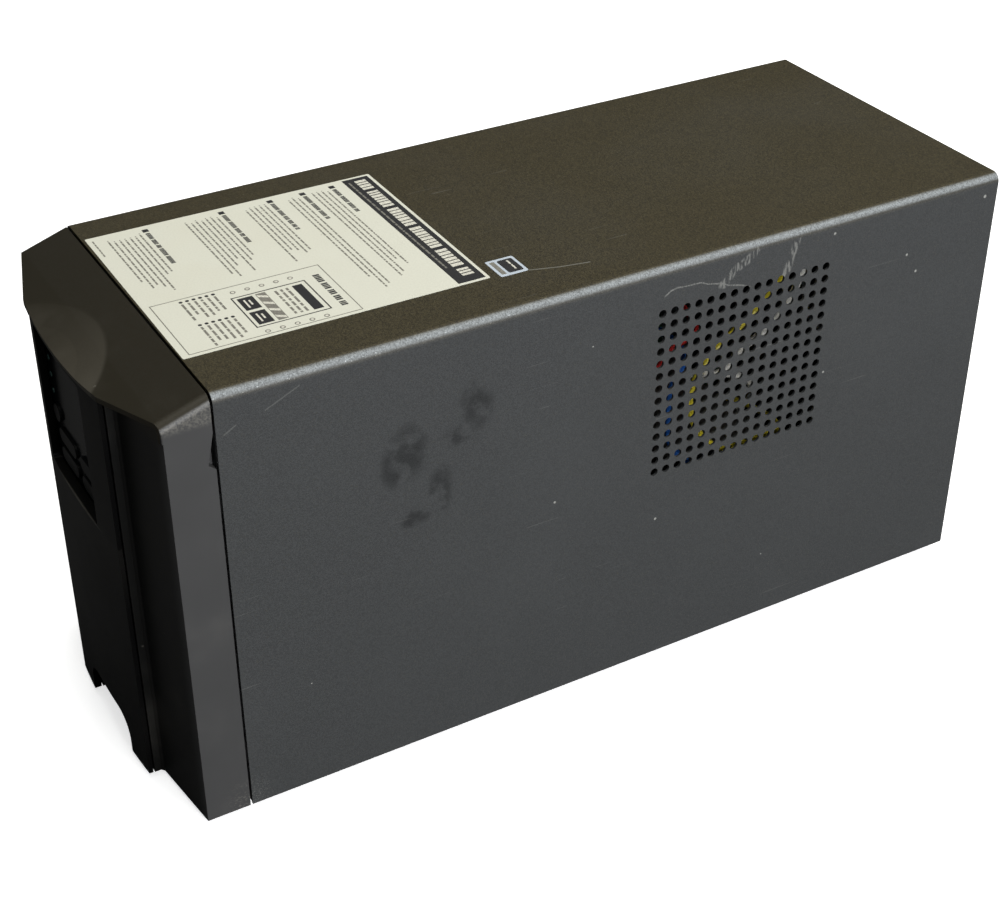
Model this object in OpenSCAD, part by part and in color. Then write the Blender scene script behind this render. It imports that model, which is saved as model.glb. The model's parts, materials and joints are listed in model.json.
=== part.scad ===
// Tower uninterruptible power supply. X runs across, the front looks along -Y, Z is up,
// and the origin is on the floor under the middle of the footprint.

/* [Body] */
// Width across the sheet-steel sides
body_w = 171; // [165:1:176]
// Height from the floor to the top of the cover
body_h = 219; // [217:1:222]
// Depth from the lip of the bezel to the rear edge of the cover
body_d = 439; // [437:1:445]
// Thickness of the sheet steel
steel_t = 1.2; // [0.8:0.1:1.5]
// Radius of the folds along the top edges of the cover
fold_r = 4.5; // [3:0.5:6]
// Height of the rubber feet
foot_h = 3; // [2:0.5:4]

/* [Bezel] */
// Depth of the bezel at its middle
bezel_d = 37; // [36:0.5:39]
// Wall thickness of the bezel moulding
bezel_t = 2.2; // [1.8:0.1:2.6]
// Fall of the sloping top of the bezel, in degrees
bezel_slope = 18.5; // [16:0.5:20]
// Gap between the bezel and the cover
seam_gap = 1.1; // [0.4:0.1:1.4]
// Half the width of the centre column
column_half = 44; // [42:1:46]
// Half the width of the finger arch at the foot of the column
arch_half = 25.5; // [22:0.5:30]
// Height of the finger arch
arch_h = 19; // [14:1:20]

/* [Display] */
// Left side of the display window
window_x0 = -38.5; // [-40:0.5:-37]
// Right side of the display window
window_x1 = 23; // [21:1:25]
// Bottom of the display window
window_z0 = 130; // [128:1:132]
// Top of the display window
window_z1 = 200; // [198:1:201]
// Travel of the push buttons
button_travel = 0.8; // [0.5:0.1:1]

/* [Vents] */
// Diameter of one vent hole
vent_hole_d = 4; // [3:0.2:4.6]
// Distance between neighbouring vent holes
vent_pitch = 6.45; // [6:0.05:6.8]
// Number of vent holes along the body
vent_columns = 15; // [8:1:16]
// Number of vent holes up the body
vent_rows = 14; // [8:1:16]

/* [Battery] */
// Thickness of one sealed battery
battery_w = 75.5; // [70:0.5:75.5]
// Length of one sealed battery
battery_l = 181; // [170:1:182]
// Height of one sealed battery
battery_h = 167; // [160:1:167]

/* [Fan] */
// Side of the square fan
fan_side = 80; // [76:1:80]
// Depth of the fan
fan_depth = 25; // [20:1:25]
// Number of fan blades
fan_blades = 7; // [5:1:9]

/* [Hidden] */
$fn = 64;
half_w = body_w / 2;
front_y = -body_d / 2;
rear_y = body_d / 2;
seam_y = front_y + bezel_d;
inner_half = half_w - steel_t;
chassis_half = inner_half - 0.2;
floor_z = foot_h + steel_t;

// Planes of the rear end
panel_y = rear_y - 3.2;
panel_in_y = panel_y - steel_t;

// Planes of the front end
frame_y = seam_y + 0.3;
door_y = seam_y - 1.2;
wing_outer_y = seam_y - 21.6;
wing_inner_y = seam_y - 26.4;
column_y = seam_y - 30.7;
fascia_gap = 0.7;
fascia_back_y = column_y - fascia_gap;
fascia_front_y = front_y + 1.6;
fascia_r = 480;
lip_r = 400;
lip_bend_x = 46;
lip_corner_y = seam_y - 22.1;
lip_base_z = 203;
recess_z = [184, 203];
recess_d = 4.2;
arch_r = 12;

// Display pod
lens_y = column_y + 0.6;
lens_t = 1.6;
pod_back_y = column_y + 21;
pod_wall = 1.8;
board_y = column_y + 13.2;
board_t = 1.6;
key_w = 22;
key_h = 7;
key_columns = [-19.5, 7.5];
key_rows = [147.5, 137.5];
power_spot = [-30.4, 157.4];
power_r = 4.2;
light_x = -34.6;
light_rows = [192, 183.5, 175, 166.5];
light_r = 1.2;
lcd_x = [-20, 19];
lcd_z = [160, 193];
display_plug_x = [-20, -2];
display_plug_z = [198.2, 203.2];

// Battery bay
bay_half = 76.1;
bay_top = 174.5;
notch_half = 68;
notch_top = 192.5;
shelf_z = 193.6;
battery_z = floor_z + 0.5;
battery_y = seam_y + 4.5;
battery_gap = 0.4;
battery_wall = 3;
cell_count = 6;
plates_per_cell = 4;
partition_top = 172;
partition_y = battery_y + battery_l + 5;
terminal_r = 5;
terminal_h = 2.6;
battery_plug_x = [35, 57];
battery_plug_z = [178.6, 192];
thumb_x = 60;
thumb_z = 199;

// Transformer
core_x = [-47, 67];
core_y = [45, 105];
core_z0 = floor_z + 1.8;
core_h = 95;
leg = 19;
coil_bulge = 18;
bracket_ear = 14;
bracket_bolts = [
    for (x = [core_x[0] - 7, core_x[1] + 7], y = [56, 94]) [x, y]];

// Main board, standing on the left wall
wall_y = [12, 200];
wall_top = 106;
main_board_x = -80;
main_board_y = [18, 192];
main_board_z = [10, 102];
heatsink_y = [30, 128];
heatsink_len = 40;
fin_count = 7;

// Rear panel layout, as X and Z of each centre
fan_spot = [36, 166];
fan_bore_r = 38;
fan_y0 = panel_in_y - fan_depth;
hub_r = 17;
shaft_r = 1.5;
fan_screw_offset = 35.75;
fan_screw_spots = [
    for (dx = [-1, 1], dz = [-1, 1]) fan_spot + fan_screw_offset * [dx, dz]];
inlet_spot = [34, 100];
outlet_pitch = 34;
outlet_count = 4;
outlet_rows = [28, 62];
outlet_depth = 24;
service_x = -19;
breaker_z = 140;
network_z = 196;
usb_z = 172;
ground_z = 113;
slot_x = [-78, -36];
slot_z = [92, 208];
screw_r = 1.5;
screw_head_r = 3;
cover_flange_z = 208;
cover_flange_half = 70;
cover_screw_x = [-60, -20, 20, 60];

// Vent field, centred on the electronics bay
vent_y = 73.1;
vent_z = 154.2;

// Top label, laid on a little askew
label_size = [119.5, 140];
label_spot = [-4.5, -111.6];
label_turn = -0.4;
label_t = 0.2;
badge_size = [15.2, 13.6];
badge_spot = [50.2, -31];

// Lead routes, in round numbers chosen along the way that each lead takes
wire_r = 1.7;
wire_sides = 8;
yellow_route = [
    [12, 112, 85], [26, 111, 96], [52, 114, 101], [72, 110, 104], [75, 99, 104], [76, 86, 104],
    [76, 73, 105], [76, 66, 111], [76, 60, 118], [76, 54, 130], [76, 53, 144], [76, 60, 157],
    [76, 67, 164], [76, 78, 171], [76, 88, 178], [74, 100, 186], [66, 114, 192], [50, 130, 198],
    [20, 150, 204], [-8, 175, 204], [-14, 190, 172], [-14, 194, 156]];
white_route = [
    [30, 112, 84], [36, 122, 100], [40, 110, 116], [46, 84, 128], [56, 62, 140], [70, 62, 148],
    [76, 67, 149], [76, 74, 152], [76, 80, 157], [76, 88, 162], [76, 94, 165], [76, 100, 170],
    [76, 106, 177], [75, 112, 186], [68, 126, 198], [56, 142, 207], [40, 160, 210],
    [20, 170, 208], [-4, 180, 180], [-6, 184, 130], [0, 186, 108], [14, 190, 102]];
blue_route = [
    [42, 114, 85], [56, 120, 90], [72, 106, 96], [75, 80, 99], [76, 62, 101], [76, 54, 104],
    [76, 47, 111], [76, 42, 121], [76, 41, 132], [76, 41, 146], [75, 47, 157], [68, 54, 159],
    [50, 58, 158], [20, 60, 152], [-40, 62, 134], [-66, 64, 116], [-74, 66, 104]];
red_route = [
    [46, -136, 186], [46, -80, 188], [54, -30, 186], [66, 4, 178], [74, 20, 166], [76, 28, 161],
    [76, 35, 163], [76, 41, 170], [75, 48, 172], [72, 56, 172], [60, 62, 172], [30, 66, 172],
    [-30, 60, 160], [-66, 50, 122], [-74, 48, 104]];

// ---------------------------------------------------------------- helpers

// A box between two corners
module box(low, high) {
    translate(low) cube(high - low);
}

// A flat shape drawn in X and Z, standing upright between two Y planes
module upright(y0, y1) {
    translate([0, y1, 0]) rotate([90, 0, 0]) linear_extrude(y1 - y0) children();
}

// A rod along Y
module rod_y(spot, r, y0, y1) {
    translate([spot[0], y0, spot[1]]) rotate([-90, 0, 0]) cylinder(h = y1 - y0, r = r);
}

// A rod along X
module rod_x(spot, r, x0, x1) {
    translate([x0, spot[0], spot[1]]) rotate([0, 90, 0]) cylinder(h = x1 - x0, r = r);
}

// A rectangle with round corners, between two corner points
module round_rect(low, high, r) {
    translate([low[0] + r, low[1]]) square([high[0] - low[0] - 2 * r, high[1] - low[1]]);
    translate([low[0], low[1] + r]) square([high[0] - low[0], high[1] - low[1] - 2 * r]);
    for (x = [low[0] + r, high[0] - r], y = [low[1] + r, high[1] - r])
        translate([x, y]) circle(r, $fn = 32);
}

// A slot with round ends, centred on a spot
module pill(spot, w, h) {
    translate(spot) {
        square([w - h, h], center = true);
        for (side = [-1, 1])
            translate([side * (w - h) / 2, 0]) circle(h / 2, $fn = 32);
    }
}

// A machine screw along +Y: its head stands behind the plane head_y
module rear_screw(spot, head_y, grip) {
    rod_y(spot, screw_head_r, head_y, head_y + 1.1);
    rod_y(spot, screw_r, head_y - grip, head_y);
}

function unit(v) = v / norm(v);

// A point on a Catmull-Rom curve through the four neighbours p
function curve_point(p, t) = 0.5 * (2 * p[1] + (p[2] - p[0]) * t
    + (2 * p[0] - 5 * p[1] + 4 * p[2] - p[3]) * t * t
    + (3 * p[1] - p[0] - 3 * p[2] + p[3]) * t * t * t);

// A smooth run through the route's points, with a number of steps between each pair
function smooth_run(route, steps) = let (n = len(route)) [
    for (i = [0:n - 2], s = [0:steps - 1])
        curve_point([route[max(i - 1, 0)], route[i], route[i + 1], route[min(i + 2, n - 1)]],
            s / steps),
    route[n - 1]];

// The direction of a run at point i
function run_tangent(run, i) = unit(run[min(i + 1, len(run) - 1)] - run[max(i - 1, 0)]);

// A side vector carried along the run so that the tube doesn't twist
function side_vectors(run, i = 0, side = undef, found = []) =
    i == len(run) ? found
    : let (
        t = run_tangent(run, i),
        start = abs(t[2]) < 0.8 ? [0, 0, 1] : [1, 0, 0],
        old = side == undef ? start : side,
        new = unit(old - (old * t) * t))
      side_vectors(run, i + 1, new, concat(found, [new]));

// A round tube of radius r along a route
module tube_along(route, r, steps = 3) {
    run = smooth_run(route, steps);
    rings = len(run);
    sides = side_vectors(run);
    points = [
        for (i = [0:rings - 1])
            let (t = run_tangent(run, i), u = sides[i], v = cross(t, u))
                for (k = [0:wire_sides - 1])
                    let (a = 360 * k / wire_sides) run[i] + r * (cos(a) * u + sin(a) * v)];
    walls = [
        for (i = [0:rings - 2], k = [0:wire_sides - 1])
            let (m = (k + 1) % wire_sides, a = i * wire_sides)
                [a + k, a + m, a + wire_sides + m, a + wire_sides + k]];
    caps = [
        [for (k = [wire_sides - 1:-1:0]) k],
        [for (k = [0:wire_sides - 1]) (rings - 1) * wire_sides + k]];
    polyhedron(points, concat([for (w = walls) [w[3], w[2], w[1], w[0]]],
        [for (c = caps) [for (k = [len(c) - 1:-1:0]) c[k]]]), convexity = 10);
}

// ---------------------------------------------------------------- casing

// The outline of the battery opening in the front frame, in X and Z
module bay_outline() {
    translate([-bay_half, floor_z]) square([2 * bay_half, bay_top - floor_z]);
    translate([-notch_half, floor_z]) square([2 * notch_half, notch_top - floor_z]);
}

module base_chassis() {
    color("dimgray") {
        difference() {
            box([-chassis_half, frame_y, foot_h], [chassis_half, panel_y, floor_z]);
            // drainage and cable-tie slots in the floor
            for (x = [-60, 60], y = [130, 160])
                translate([0, 0, foot_h - 1]) linear_extrude(steel_t + 2) pill([x, y], 14, 5);
        }
        // folded-up side flanges
        for (side = [-1, 1])
            box([side * chassis_half - (side > 0 ? steel_t : 0), frame_y + steel_t, floor_z],
                [side * chassis_half + (side > 0 ? 0 : steel_t), panel_in_y, 18]);
        // front frame around the battery opening
        difference() {
            box([-chassis_half, frame_y, floor_z], [chassis_half, frame_y + steel_t, body_h - 6]);
            upright(frame_y - 1, frame_y + steel_t + 1) bay_outline();
            // slots for the bezel tabs
            for (side = [-1, 1], z = [30, 165])
                translate([side * 80 - 1.5, frame_y - 1, z - 7]) cube([3, steel_t + 2, 14]);
            // way through for the display plug
            box([display_plug_x[0] - 1, frame_y - 1, display_plug_z[0] - 0.7],
                [display_plug_x[1] + 1, frame_y + steel_t + 1, display_plug_z[1] + 0.7]);
            for (side = [-1, 1])
                rod_y([side * thumb_x, thumb_z], 2.05, frame_y - 1, frame_y + steel_t + 1);
        }
        // shelf that carries the two sockets
        box([-inner_half + 1.4, frame_y + steel_t, shelf_z],
            [inner_half - 1.4, -110, shelf_z + steel_t]);
        // left wall that carries the main board
        box([-chassis_half, wall_y[0], 18], [-chassis_half + steel_t, wall_y[1], wall_top]);
    }
}

module battery_partition() {
    color("dimgray") difference() {
        box([-chassis_half + steel_t + 0.1, partition_y, floor_z],
            [chassis_half - steel_t - 0.1, partition_y + steel_t, partition_top]);
        // air slots
        for (x = [-56:16:56])
            translate([x, partition_y - 1, 120]) cube([4.5, steel_t + 2, 40]);
    }
}

module rubber_feet() {
    color("#1c1c1c")
        for (x = [-64, 64], y = [-150, 184])
            translate([x, y, 0]) cylinder(h = foot_h, r1 = 9, r2 = 10);
}

// The folded profile of the cover, in X and Z
module cover_profile(inset) {
    r = fold_r - inset;
    difference() {
        round_rect([-half_w + inset, -20], [half_w - inset, body_h - inset], r);
        translate([-half_w - 1, -30]) square([body_w + 2, 30 + foot_h]);
    }
}

// One vent field, in Y and Z
module vent_field() {
    for (i = [0:vent_columns - 1], j = [0:vent_rows - 1])
        translate([
            vent_y + (i - (vent_columns - 1) / 2) * vent_pitch,
            vent_z + (j - (vent_rows - 1) / 2) * vent_pitch])
            circle(vent_hole_d / 2, $fn = 24);
}

module outer_cover() {
    color("#46464a") {
        difference() {
            upright(seam_y, rear_y) difference() {
                cover_profile(0);
                cover_profile(steel_t);
            }
            // both perforated fields are punched through the two sides at once
            translate([-half_w - 1, 0, 0]) rotate([90, 0, 90])
                linear_extrude(body_w + 2) vent_field();
        }
        // flange folded down behind the top of the rear panel
        difference() {
            box([-cover_flange_half, panel_y + 0.1, cover_flange_z],
                [cover_flange_half, panel_y + 0.1 + steel_t, body_h - steel_t]);
            for (x = cover_screw_x)
                rod_y([x, 213], screw_r + 0.2, panel_y - 1, panel_y + 3);
        }
    }
}

// ---------------------------------------------------------------- bezel

// The plan of the sloping top: nearly flat in the middle and straight to the corners
module lip_plan() {
    bow = [for (x = [-lip_bend_x:4:lip_bend_x])
        [x, front_y + lip_r - sqrt(lip_r * lip_r - x * x)]];
    polygon(concat(
        [[half_w, seam_y - seam_gap], [-half_w, seam_y - seam_gap], [-half_w, lip_corner_y]],
        bow,
        [[half_w, lip_corner_y]]));
}

// The plan of the walls under the lip, drawn in by t
module wall_plan(t) {
    side = [[half_w - t, wing_outer_y + t], [column_half - t + (t > 0 ? 0 : 1.5), wing_inner_y + t],
        [column_half - t, wing_inner_y + t - (t > 0 ? 0 : 1.2)], [column_half - t, column_y + t]];
    polygon(concat(
        [[half_w - t, seam_y - seam_gap + (t > 0 ? 1 : 0)]],
        side,
        [for (i = [3:-1:0]) [-side[i][0], side[i][1]]],
        [[-half_w + t, seam_y - seam_gap + (t > 0 ? 1 : 0)]]));
}

// Everything under the sloping top, with the same folds along its sides as the cover
module under_slope(drop) {
    translate([0, seam_y, body_h]) rotate([bezel_slope, 0, 0]) translate([0, 20, 0])
        rotate([90, 0, 0]) linear_extrude(260)
            round_rect([-half_w + drop, -280], [half_w - drop, -drop], fold_r - min(drop, 2));
}

// The finger arch, in X and Z
module arch_outline(grow = 0) {
    translate([-arch_half - grow, foot_h - 5])
        square([2 * (arch_half + grow), 5 + arch_h - arch_r]);
    translate([-arch_half + arch_r, foot_h - 5])
        square([2 * (arch_half - arch_r), 5 + arch_h + grow]);
    for (side = [-1, 1])
        translate([side * (arch_half - arch_r), foot_h + arch_h - arch_r]) circle(arch_r + grow);
}

// The shallow scoop in the sloping top above the column
module lip_scoop() {
    scoop_r = 56.2;
    translate([0, seam_y, body_h]) rotate([bezel_slope, 0, 0]) translate([0, -16.4 - scoop_r, -1])
        cylinder(h = 1.02, r1 = scoop_r - 14, r2 = scoop_r, $fn = 128);
}

// The prying notch at the seam, in Y and Z
module notch_outline() {
    polygon([[seam_y, recess_z[0]], [seam_y - recess_d, recess_z[0] + 3.4],
        [seam_y - 0.9, recess_z[1]], [seam_y, recess_z[1]]]);
}

module front_bezel() {
    color("#1f1f20") difference() {
        union() {
            difference() {
                intersection() {
                    union() {
                        translate([0, 0, foot_h]) linear_extrude(body_h) wall_plan(0);
                        difference() {
                            translate([0, 0, lip_base_z]) linear_extrude(body_h) lip_plan();
                            under_slope(bezel_t);
                        }
                    }
                    under_slope(0);
                }
                // hollow inside
                intersection() {
                    translate([0, 0, foot_h + bezel_t]) linear_extrude(body_h) wall_plan(bezel_t);
                    under_slope(bezel_t);
                }
            }
            // ribs, tabs and the backing of the prying notches
            for (side = [-1, 1]) {
                translate([side * 72 - 0.8, wing_outer_y, foot_h + 1]) cube([1.6, 14, 172]);
                for (z = [30, 165]) {
                    translate([side * 80 - 0.8, wing_outer_y + 1, z - 5]) cube([1.6, 26, 10]);
                    translate([side * 81.7 - 2.4, wing_outer_y + 1, z - 5]) cube([4.8, 12, 10]);
                }
                translate([side * (half_w - 3.6) - 3.4, seam_y - 7.6, recess_z[0] - 1.6])
                    cube([6.8, 7.6 - seam_gap, recess_z[1] - recess_z[0] + 3.2]);
            }
        }
        // prying notches at the seam, deepest near the bottom
        for (side = [-1, 1])
            translate([side * half_w - recess_d, 0, 0]) rotate([90, 0, 90])
                linear_extrude(2 * recess_d) notch_outline();
        // window for the display pod
        upright(column_y - 1, column_y + bezel_t + 0.6)
            round_rect([window_x0 - 1.4, window_z0 - 1.4], [window_x1 + 1.4, window_z1 + 1.4], 3);
        // finger arch, through the column and the floor behind it
        upright(column_y - 1, column_y + 12) arch_outline();
        lip_scoop();
    }
}

module centre_fascia() {
    top_z = 206;
    color("#141414") difference() {
        union() {
            translate([0, 0, foot_h + 0.2]) linear_extrude(top_z) intersection() {
                translate([-column_half, fascia_front_y - 1]) square([2 * column_half,
                    fascia_back_y - fascia_front_y + 1]);
                translate([0, fascia_front_y + fascia_r]) circle(fascia_r, $fn = 720);
            }
            // pad that meets the column, smaller than the plate so that a groove shows
            box([-column_half + 2.4, fascia_back_y - 0.5, foot_h + 2.4],
                [column_half - 2.4, column_y, 204]);
        }
        upright(front_y - 2, column_y + 1)
            round_rect([window_x0, window_z0], [window_x1, window_z1], 2.5);
        upright(front_y - 2, column_y + 1) arch_outline();
        // the top follows the underside of the lip
        difference() {
            box([-60, front_y - 5, 190], [60, column_y + 2, 230]);
            under_slope(bezel_t + 0.15);
        }
    }
}

// ---------------------------------------------------------------- display pod

module display_housing() {
    low = [window_x0 - 3.2, window_z0 - 3.2];
    high = [window_x1 + 3.2, window_z1 + 3.2];
    color("#262626") difference() {
        box([low[0], column_y + bezel_t, low[1]], [high[0], pod_back_y, high[1]]);
        box([low[0] + pod_wall, column_y, low[1] + pod_wall],
            [high[0] - pod_wall, pod_back_y - pod_wall, high[1] - pod_wall]);
        box([display_plug_x[0] - 0.3, board_y + board_t - 0.3, display_plug_z[0] - 0.2],
            [display_plug_x[1] + 0.3, pod_back_y + 1, display_plug_z[1] + 0.1]);
    }
}

module key_outline(column, row, grow) {
    pill([key_columns[column], key_rows[row]], key_w + grow, key_h + grow);
}

module display_lens() {
    color("#101418") difference() {
        upright(lens_y, lens_y + lens_t)
            round_rect([window_x0 - 1.2, window_z0 - 1.2], [window_x1 + 1.2, window_z1 + 1.2], 2.8);
        for (column = [0, 1], row = [0, 1])
            upright(lens_y - 1, lens_y + lens_t + 1) key_outline(column, row, 0.6);
        rod_y(power_spot, power_r + 0.3, lens_y - 1, lens_y + lens_t + 1);
        for (z = light_rows)
            rod_y([light_x, z], light_r + 0.05, lens_y - 1, lens_y + lens_t + 1);
    }
}

module lcd_panel() {
    color("#3a5566") {
        box([lcd_x[0], lens_y + lens_t, lcd_z[0]], [lcd_x[1], lens_y + lens_t + 3, lcd_z[1]]);
        box([lcd_x[0] + 2, lens_y + lens_t + 3, lcd_z[0] + 2], [lcd_x[1] - 2, board_y, lcd_z[1] - 2]);
    }
}

module display_board() {
    color("darkgreen") difference() {
        box([window_x0 - 1, board_y, window_z0 - 1], [window_x1 + 1, board_y + board_t, window_z1 + 1]);
        for (x = [window_x0 + 1.5, window_x1 - 1.5], z = [window_z0 + 1.5, 152])
            rod_y([x, z], 1.1, board_y - 1, board_y + board_t + 1);
    }
}

module status_light_pipes() {
    color("#b9d8c0")
        for (z = light_rows)
            rod_y([light_x, z], light_r, lens_y - 0.2, board_y);
}

module display_plug() {
    color("#d8d4c8") {
        box([display_plug_x[0], board_y + board_t, display_plug_z[0]],
            [display_plug_x[1], frame_y + 6, display_plug_z[1]]);
    }
}

module display_socket() {
    color("#e4e0d4") difference() {
        box([display_plug_x[0] - 2.5, frame_y + steel_t, shelf_z + steel_t],
            [display_plug_x[1] + 2.5, frame_y + 16, display_plug_z[1] + 2.5]);
        box([display_plug_x[0] - 0.4, frame_y, display_plug_z[0] - 0.4],
            [display_plug_x[1] + 0.4, frame_y + 7, display_plug_z[1] + 0.4]);
    }
}

// A rocker-free push key: a cap, a flange that keeps it in, and a stem
module push_key(column, row) {
    spot = [key_columns[column], key_rows[row]];
    upright(lens_y - 1.2, lens_y + lens_t + 0.4) key_outline(column, row, 0);
    upright(lens_y + lens_t + 0.4, lens_y + lens_t + 1.4) key_outline(column, row, 2);
    rod_y(spot, 2, lens_y + lens_t + 1.4, board_y - button_travel - 0.4);
}

module up_key() {
    color("#2b2b2d") push_key(0, 0);
}

module down_key() {
    color("#2b2b2d") push_key(0, 1);
}

module escape_key() {
    color("#2b2b2d") push_key(1, 0);
}

module enter_key() {
    color("#2b2b2d") push_key(1, 1);
}

module power_button() {
    color("#343437") {
        rod_y(power_spot, power_r, lens_y - 1.2, lens_y + lens_t + 0.4);
        rod_y(power_spot, power_r + 0.8, lens_y + lens_t + 0.4, lens_y + lens_t + 1.4);
        rod_y(power_spot, 2, lens_y + lens_t + 1.4, board_y - button_travel - 0.4);
    }
}

// ---------------------------------------------------------------- battery bay

module battery_door() {
    door_z = foot_h + bezel_t + 0.5;
    color("#8d9094") difference() {
        upright(door_y, door_y + steel_t) {
            translate([-bay_half - 1.8, door_z]) square([2 * bay_half + 3.6, 178 - door_z]);
            translate([-notch_half - 4, door_z]) square([2 * notch_half + 8, 196.5 - door_z]);
            for (side = [-1, 1])
                translate([side * thumb_x - 9, door_z]) square([18, 205 - door_z]);
        }
        for (side = [-1, 1])
            rod_y([side * thumb_x, thumb_z], 2.2, door_y - 1, door_y + steel_t + 1);
        upright(door_y - 1, door_y + steel_t + 1) pill([0, 60], 50, 16);
    }
}

module door_thumb_screws() {
    color("#b8babd")
        for (side = [-1, 1]) {
            spot = [side * thumb_x, thumb_z];
            difference() {
                rod_y(spot, 6, door_y - 9, door_y);
                translate([side * thumb_x - 0.6, door_y - 10, thumb_z - 5]) cube([1.2, 2.5, 10]);
            }
            rod_y(spot, 1.95, door_y, frame_y + 5);
        }
}

// The inner side of a battery case is nearest the middle of the bay
module battery_case(side) {
    x0 = side > 0 ? battery_gap / 2 : -battery_gap / 2 - battery_w;
    difference() {
        box([x0, battery_y, battery_z], [x0 + battery_w, battery_y + battery_l, battery_z + battery_h]);
        box([x0 + battery_wall, battery_y + battery_wall, battery_z + battery_wall],
            [x0 + battery_w - battery_wall, battery_y + battery_l - battery_wall,
                battery_z + battery_h - 2 * battery_wall]);
    }
}

module battery_case_left() {
    color("#2c2c2e") battery_case(-1);
}

module battery_case_right() {
    color("#2c2c2e") battery_case(1);
}

module battery_plates() {
    cell = (battery_l - 2 * battery_wall) / cell_count;
    pitch = cell / plates_per_cell;
    color("#73767a")
        for (side = [-1, 1], i = [0:cell_count * plates_per_cell - 1])
            translate([
                side * (battery_gap + battery_w) / 2 - 32,
                battery_y + battery_wall + (i + 0.5) * pitch - 1.7,
                battery_z + battery_wall])
                cube([64, 3.4, 125]);
}

module battery_terminals() {
    color("#c8b26a")
        for (x = [-58, -18, 18, 58])
            translate([x, battery_y + 16, battery_z + battery_h])
                cylinder(h = terminal_h, r = terminal_r - 0.6);
}

// Two leads from the outer terminals to the plug, and a link between the inner ones
module battery_leads() {
    top = battery_z + battery_h + terminal_h;
    color("#b02020") {
        box([-19.5, battery_y + 13, top], [19.5, battery_y + 19, top + 1.2]);
        box([-60, battery_y + 13.5, top], [-56, battery_y + 18.5, top + 3]);
        box([-60, battery_y + 8, top], [-56, battery_y + 13.5, top + 3]);
        box([-60, battery_y + 4, top], [37, battery_y + 8, top + 3]);
        box([37, battery_y + 4, top], [41, battery_y + 8, battery_plug_z[0]]);
        box([56, battery_y + 13.5, top], [60, battery_y + 18.5, top + 3]);
        box([53, battery_y + 8, top], [60, battery_y + 13.5, top + 3]);
        box([53, battery_y + 4, top], [57, battery_y + 8, battery_plug_z[0]]);
    }
}

module battery_plug() {
    color("#8a8a8a") {
        box([battery_plug_x[0], battery_y + 0.5, battery_plug_z[0]],
            [battery_plug_x[1], battery_y + 19, battery_plug_z[1]]);
        box([battery_plug_x[0] + 3, battery_y + 19, battery_plug_z[0] + 3],
            [battery_plug_x[1] - 3, battery_y + 29, battery_plug_z[1] - 3]);
    }
}

module battery_socket() {
    color("#8a8a8a") difference() {
        box([battery_plug_x[0] - 1.5, battery_y + 19.5, battery_plug_z[0] - 0.5],
            [battery_plug_x[1] + 1.5, battery_y + 42, shelf_z]);
        box([battery_plug_x[0] + 2.5, battery_y + 19, battery_plug_z[0] + 2.5],
            [battery_plug_x[1] - 2.5, battery_y + 30, battery_plug_z[1] - 2.5]);
    }
}

module battery_pull_strap() {
    color("#3b3b3b") {
        box([-12, battery_y - 2.4, 40], [12, battery_y, 150]);
    }
}

// ---------------------------------------------------------------- electronics bay

// The stacked laminations: a window each side of the middle leg
module transformer_core() {
    window_h = core_h - 2 * leg;
    color("#4a4640") difference() {
        box([core_x[0], core_y[0], core_z0], [core_x[1], core_y[1], core_z0 + core_h]);
        for (x = [core_x[0] + leg, core_x[1] - 2 * leg])
            translate([x, core_y[0] - 1, core_z0 + leg])
                cube([leg, core_y[1] - core_y[0] + 2, window_h]);
    }
}

module transformer_coil() {
    x0 = core_x[0] + leg;
    x1 = core_x[1] - leg;
    z0 = core_z0 + leg;
    color("#a3602c") translate([0, 0, z0 + 0.4]) linear_extrude(core_h - 2 * leg - 0.8)
        difference() {
            round_rect([x0 + 0.4, core_y[0] - coil_bulge], [x1 - 0.4, core_y[1] + coil_bulge], 12);
            translate([x0 + leg - 0.3, core_y[0] - 0.3])
                square([x1 - x0 - 2 * leg + 0.6, core_y[1] - core_y[0] + 0.6]);
        }
}

module transformer_bracket() {
    color("#9a9c9e") difference() {
        union() {
            box([core_x[0] - bracket_ear, core_y[0] + 3, floor_z],
                [core_x[1] + bracket_ear - 1, core_y[1] - 3, core_z0]);
            for (x = [core_x[0] - 2, core_x[1]])
                box([x, core_y[0] + 3, core_z0], [x + 2, core_y[1] - 3, core_z0 + 70]);
        }
        for (b = bracket_bolts)
            translate([b[0], b[1], floor_z - 1]) cylinder(h = 5, r = 2.6);
    }
}

module transformer_bolts() {
    color("silver")
        for (b = bracket_bolts) {
            translate([b[0], b[1], floor_z]) cylinder(h = core_z0 - floor_z, r = 2.5);
            translate([b[0], b[1], core_z0]) cylinder(h = 4, r = 4.6, $fn = 6);
        }
}

module main_board() {
    color("#2e6b3a") difference() {
        box([main_board_x, main_board_y[0], main_board_z[0]],
            [main_board_x + board_t, main_board_y[1], main_board_z[1]]);
        for (y = [main_board_y[0] + 5, main_board_y[1] - 5],
            z = [main_board_z[0] + 12, main_board_z[1] - 5])
            rod_x([y, z], 1.6, main_board_x - 1, main_board_x + board_t + 1);
    }
}

module board_standoffs() {
    color("silver")
        for (y = [main_board_y[0] + 5, main_board_y[1] - 5],
            z = [main_board_z[0] + 12, main_board_z[1] - 5]) {
            rod_x([y, z], 3, -chassis_half + steel_t, main_board_x);
            rod_x([y, z], 1.5, main_board_x, main_board_x + board_t + 0.2);
            rod_x([y, z], 2.8, main_board_x + board_t + 0.2, main_board_x + board_t + 2.4);
        }
}

module heatsinks() {
    x0 = main_board_x + board_t;
    color("#a9adb1")
        for (y = heatsink_y) {
            box([x0, y, 60], [x0 + 4, y + heatsink_len, 98]);
            for (i = [0:fin_count - 1])
                translate([x0 + 4, y + i * (heatsink_len - 1.6) / (fin_count - 1), 60])
                    cube([20, 1.6, 38]);
        }
}

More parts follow.
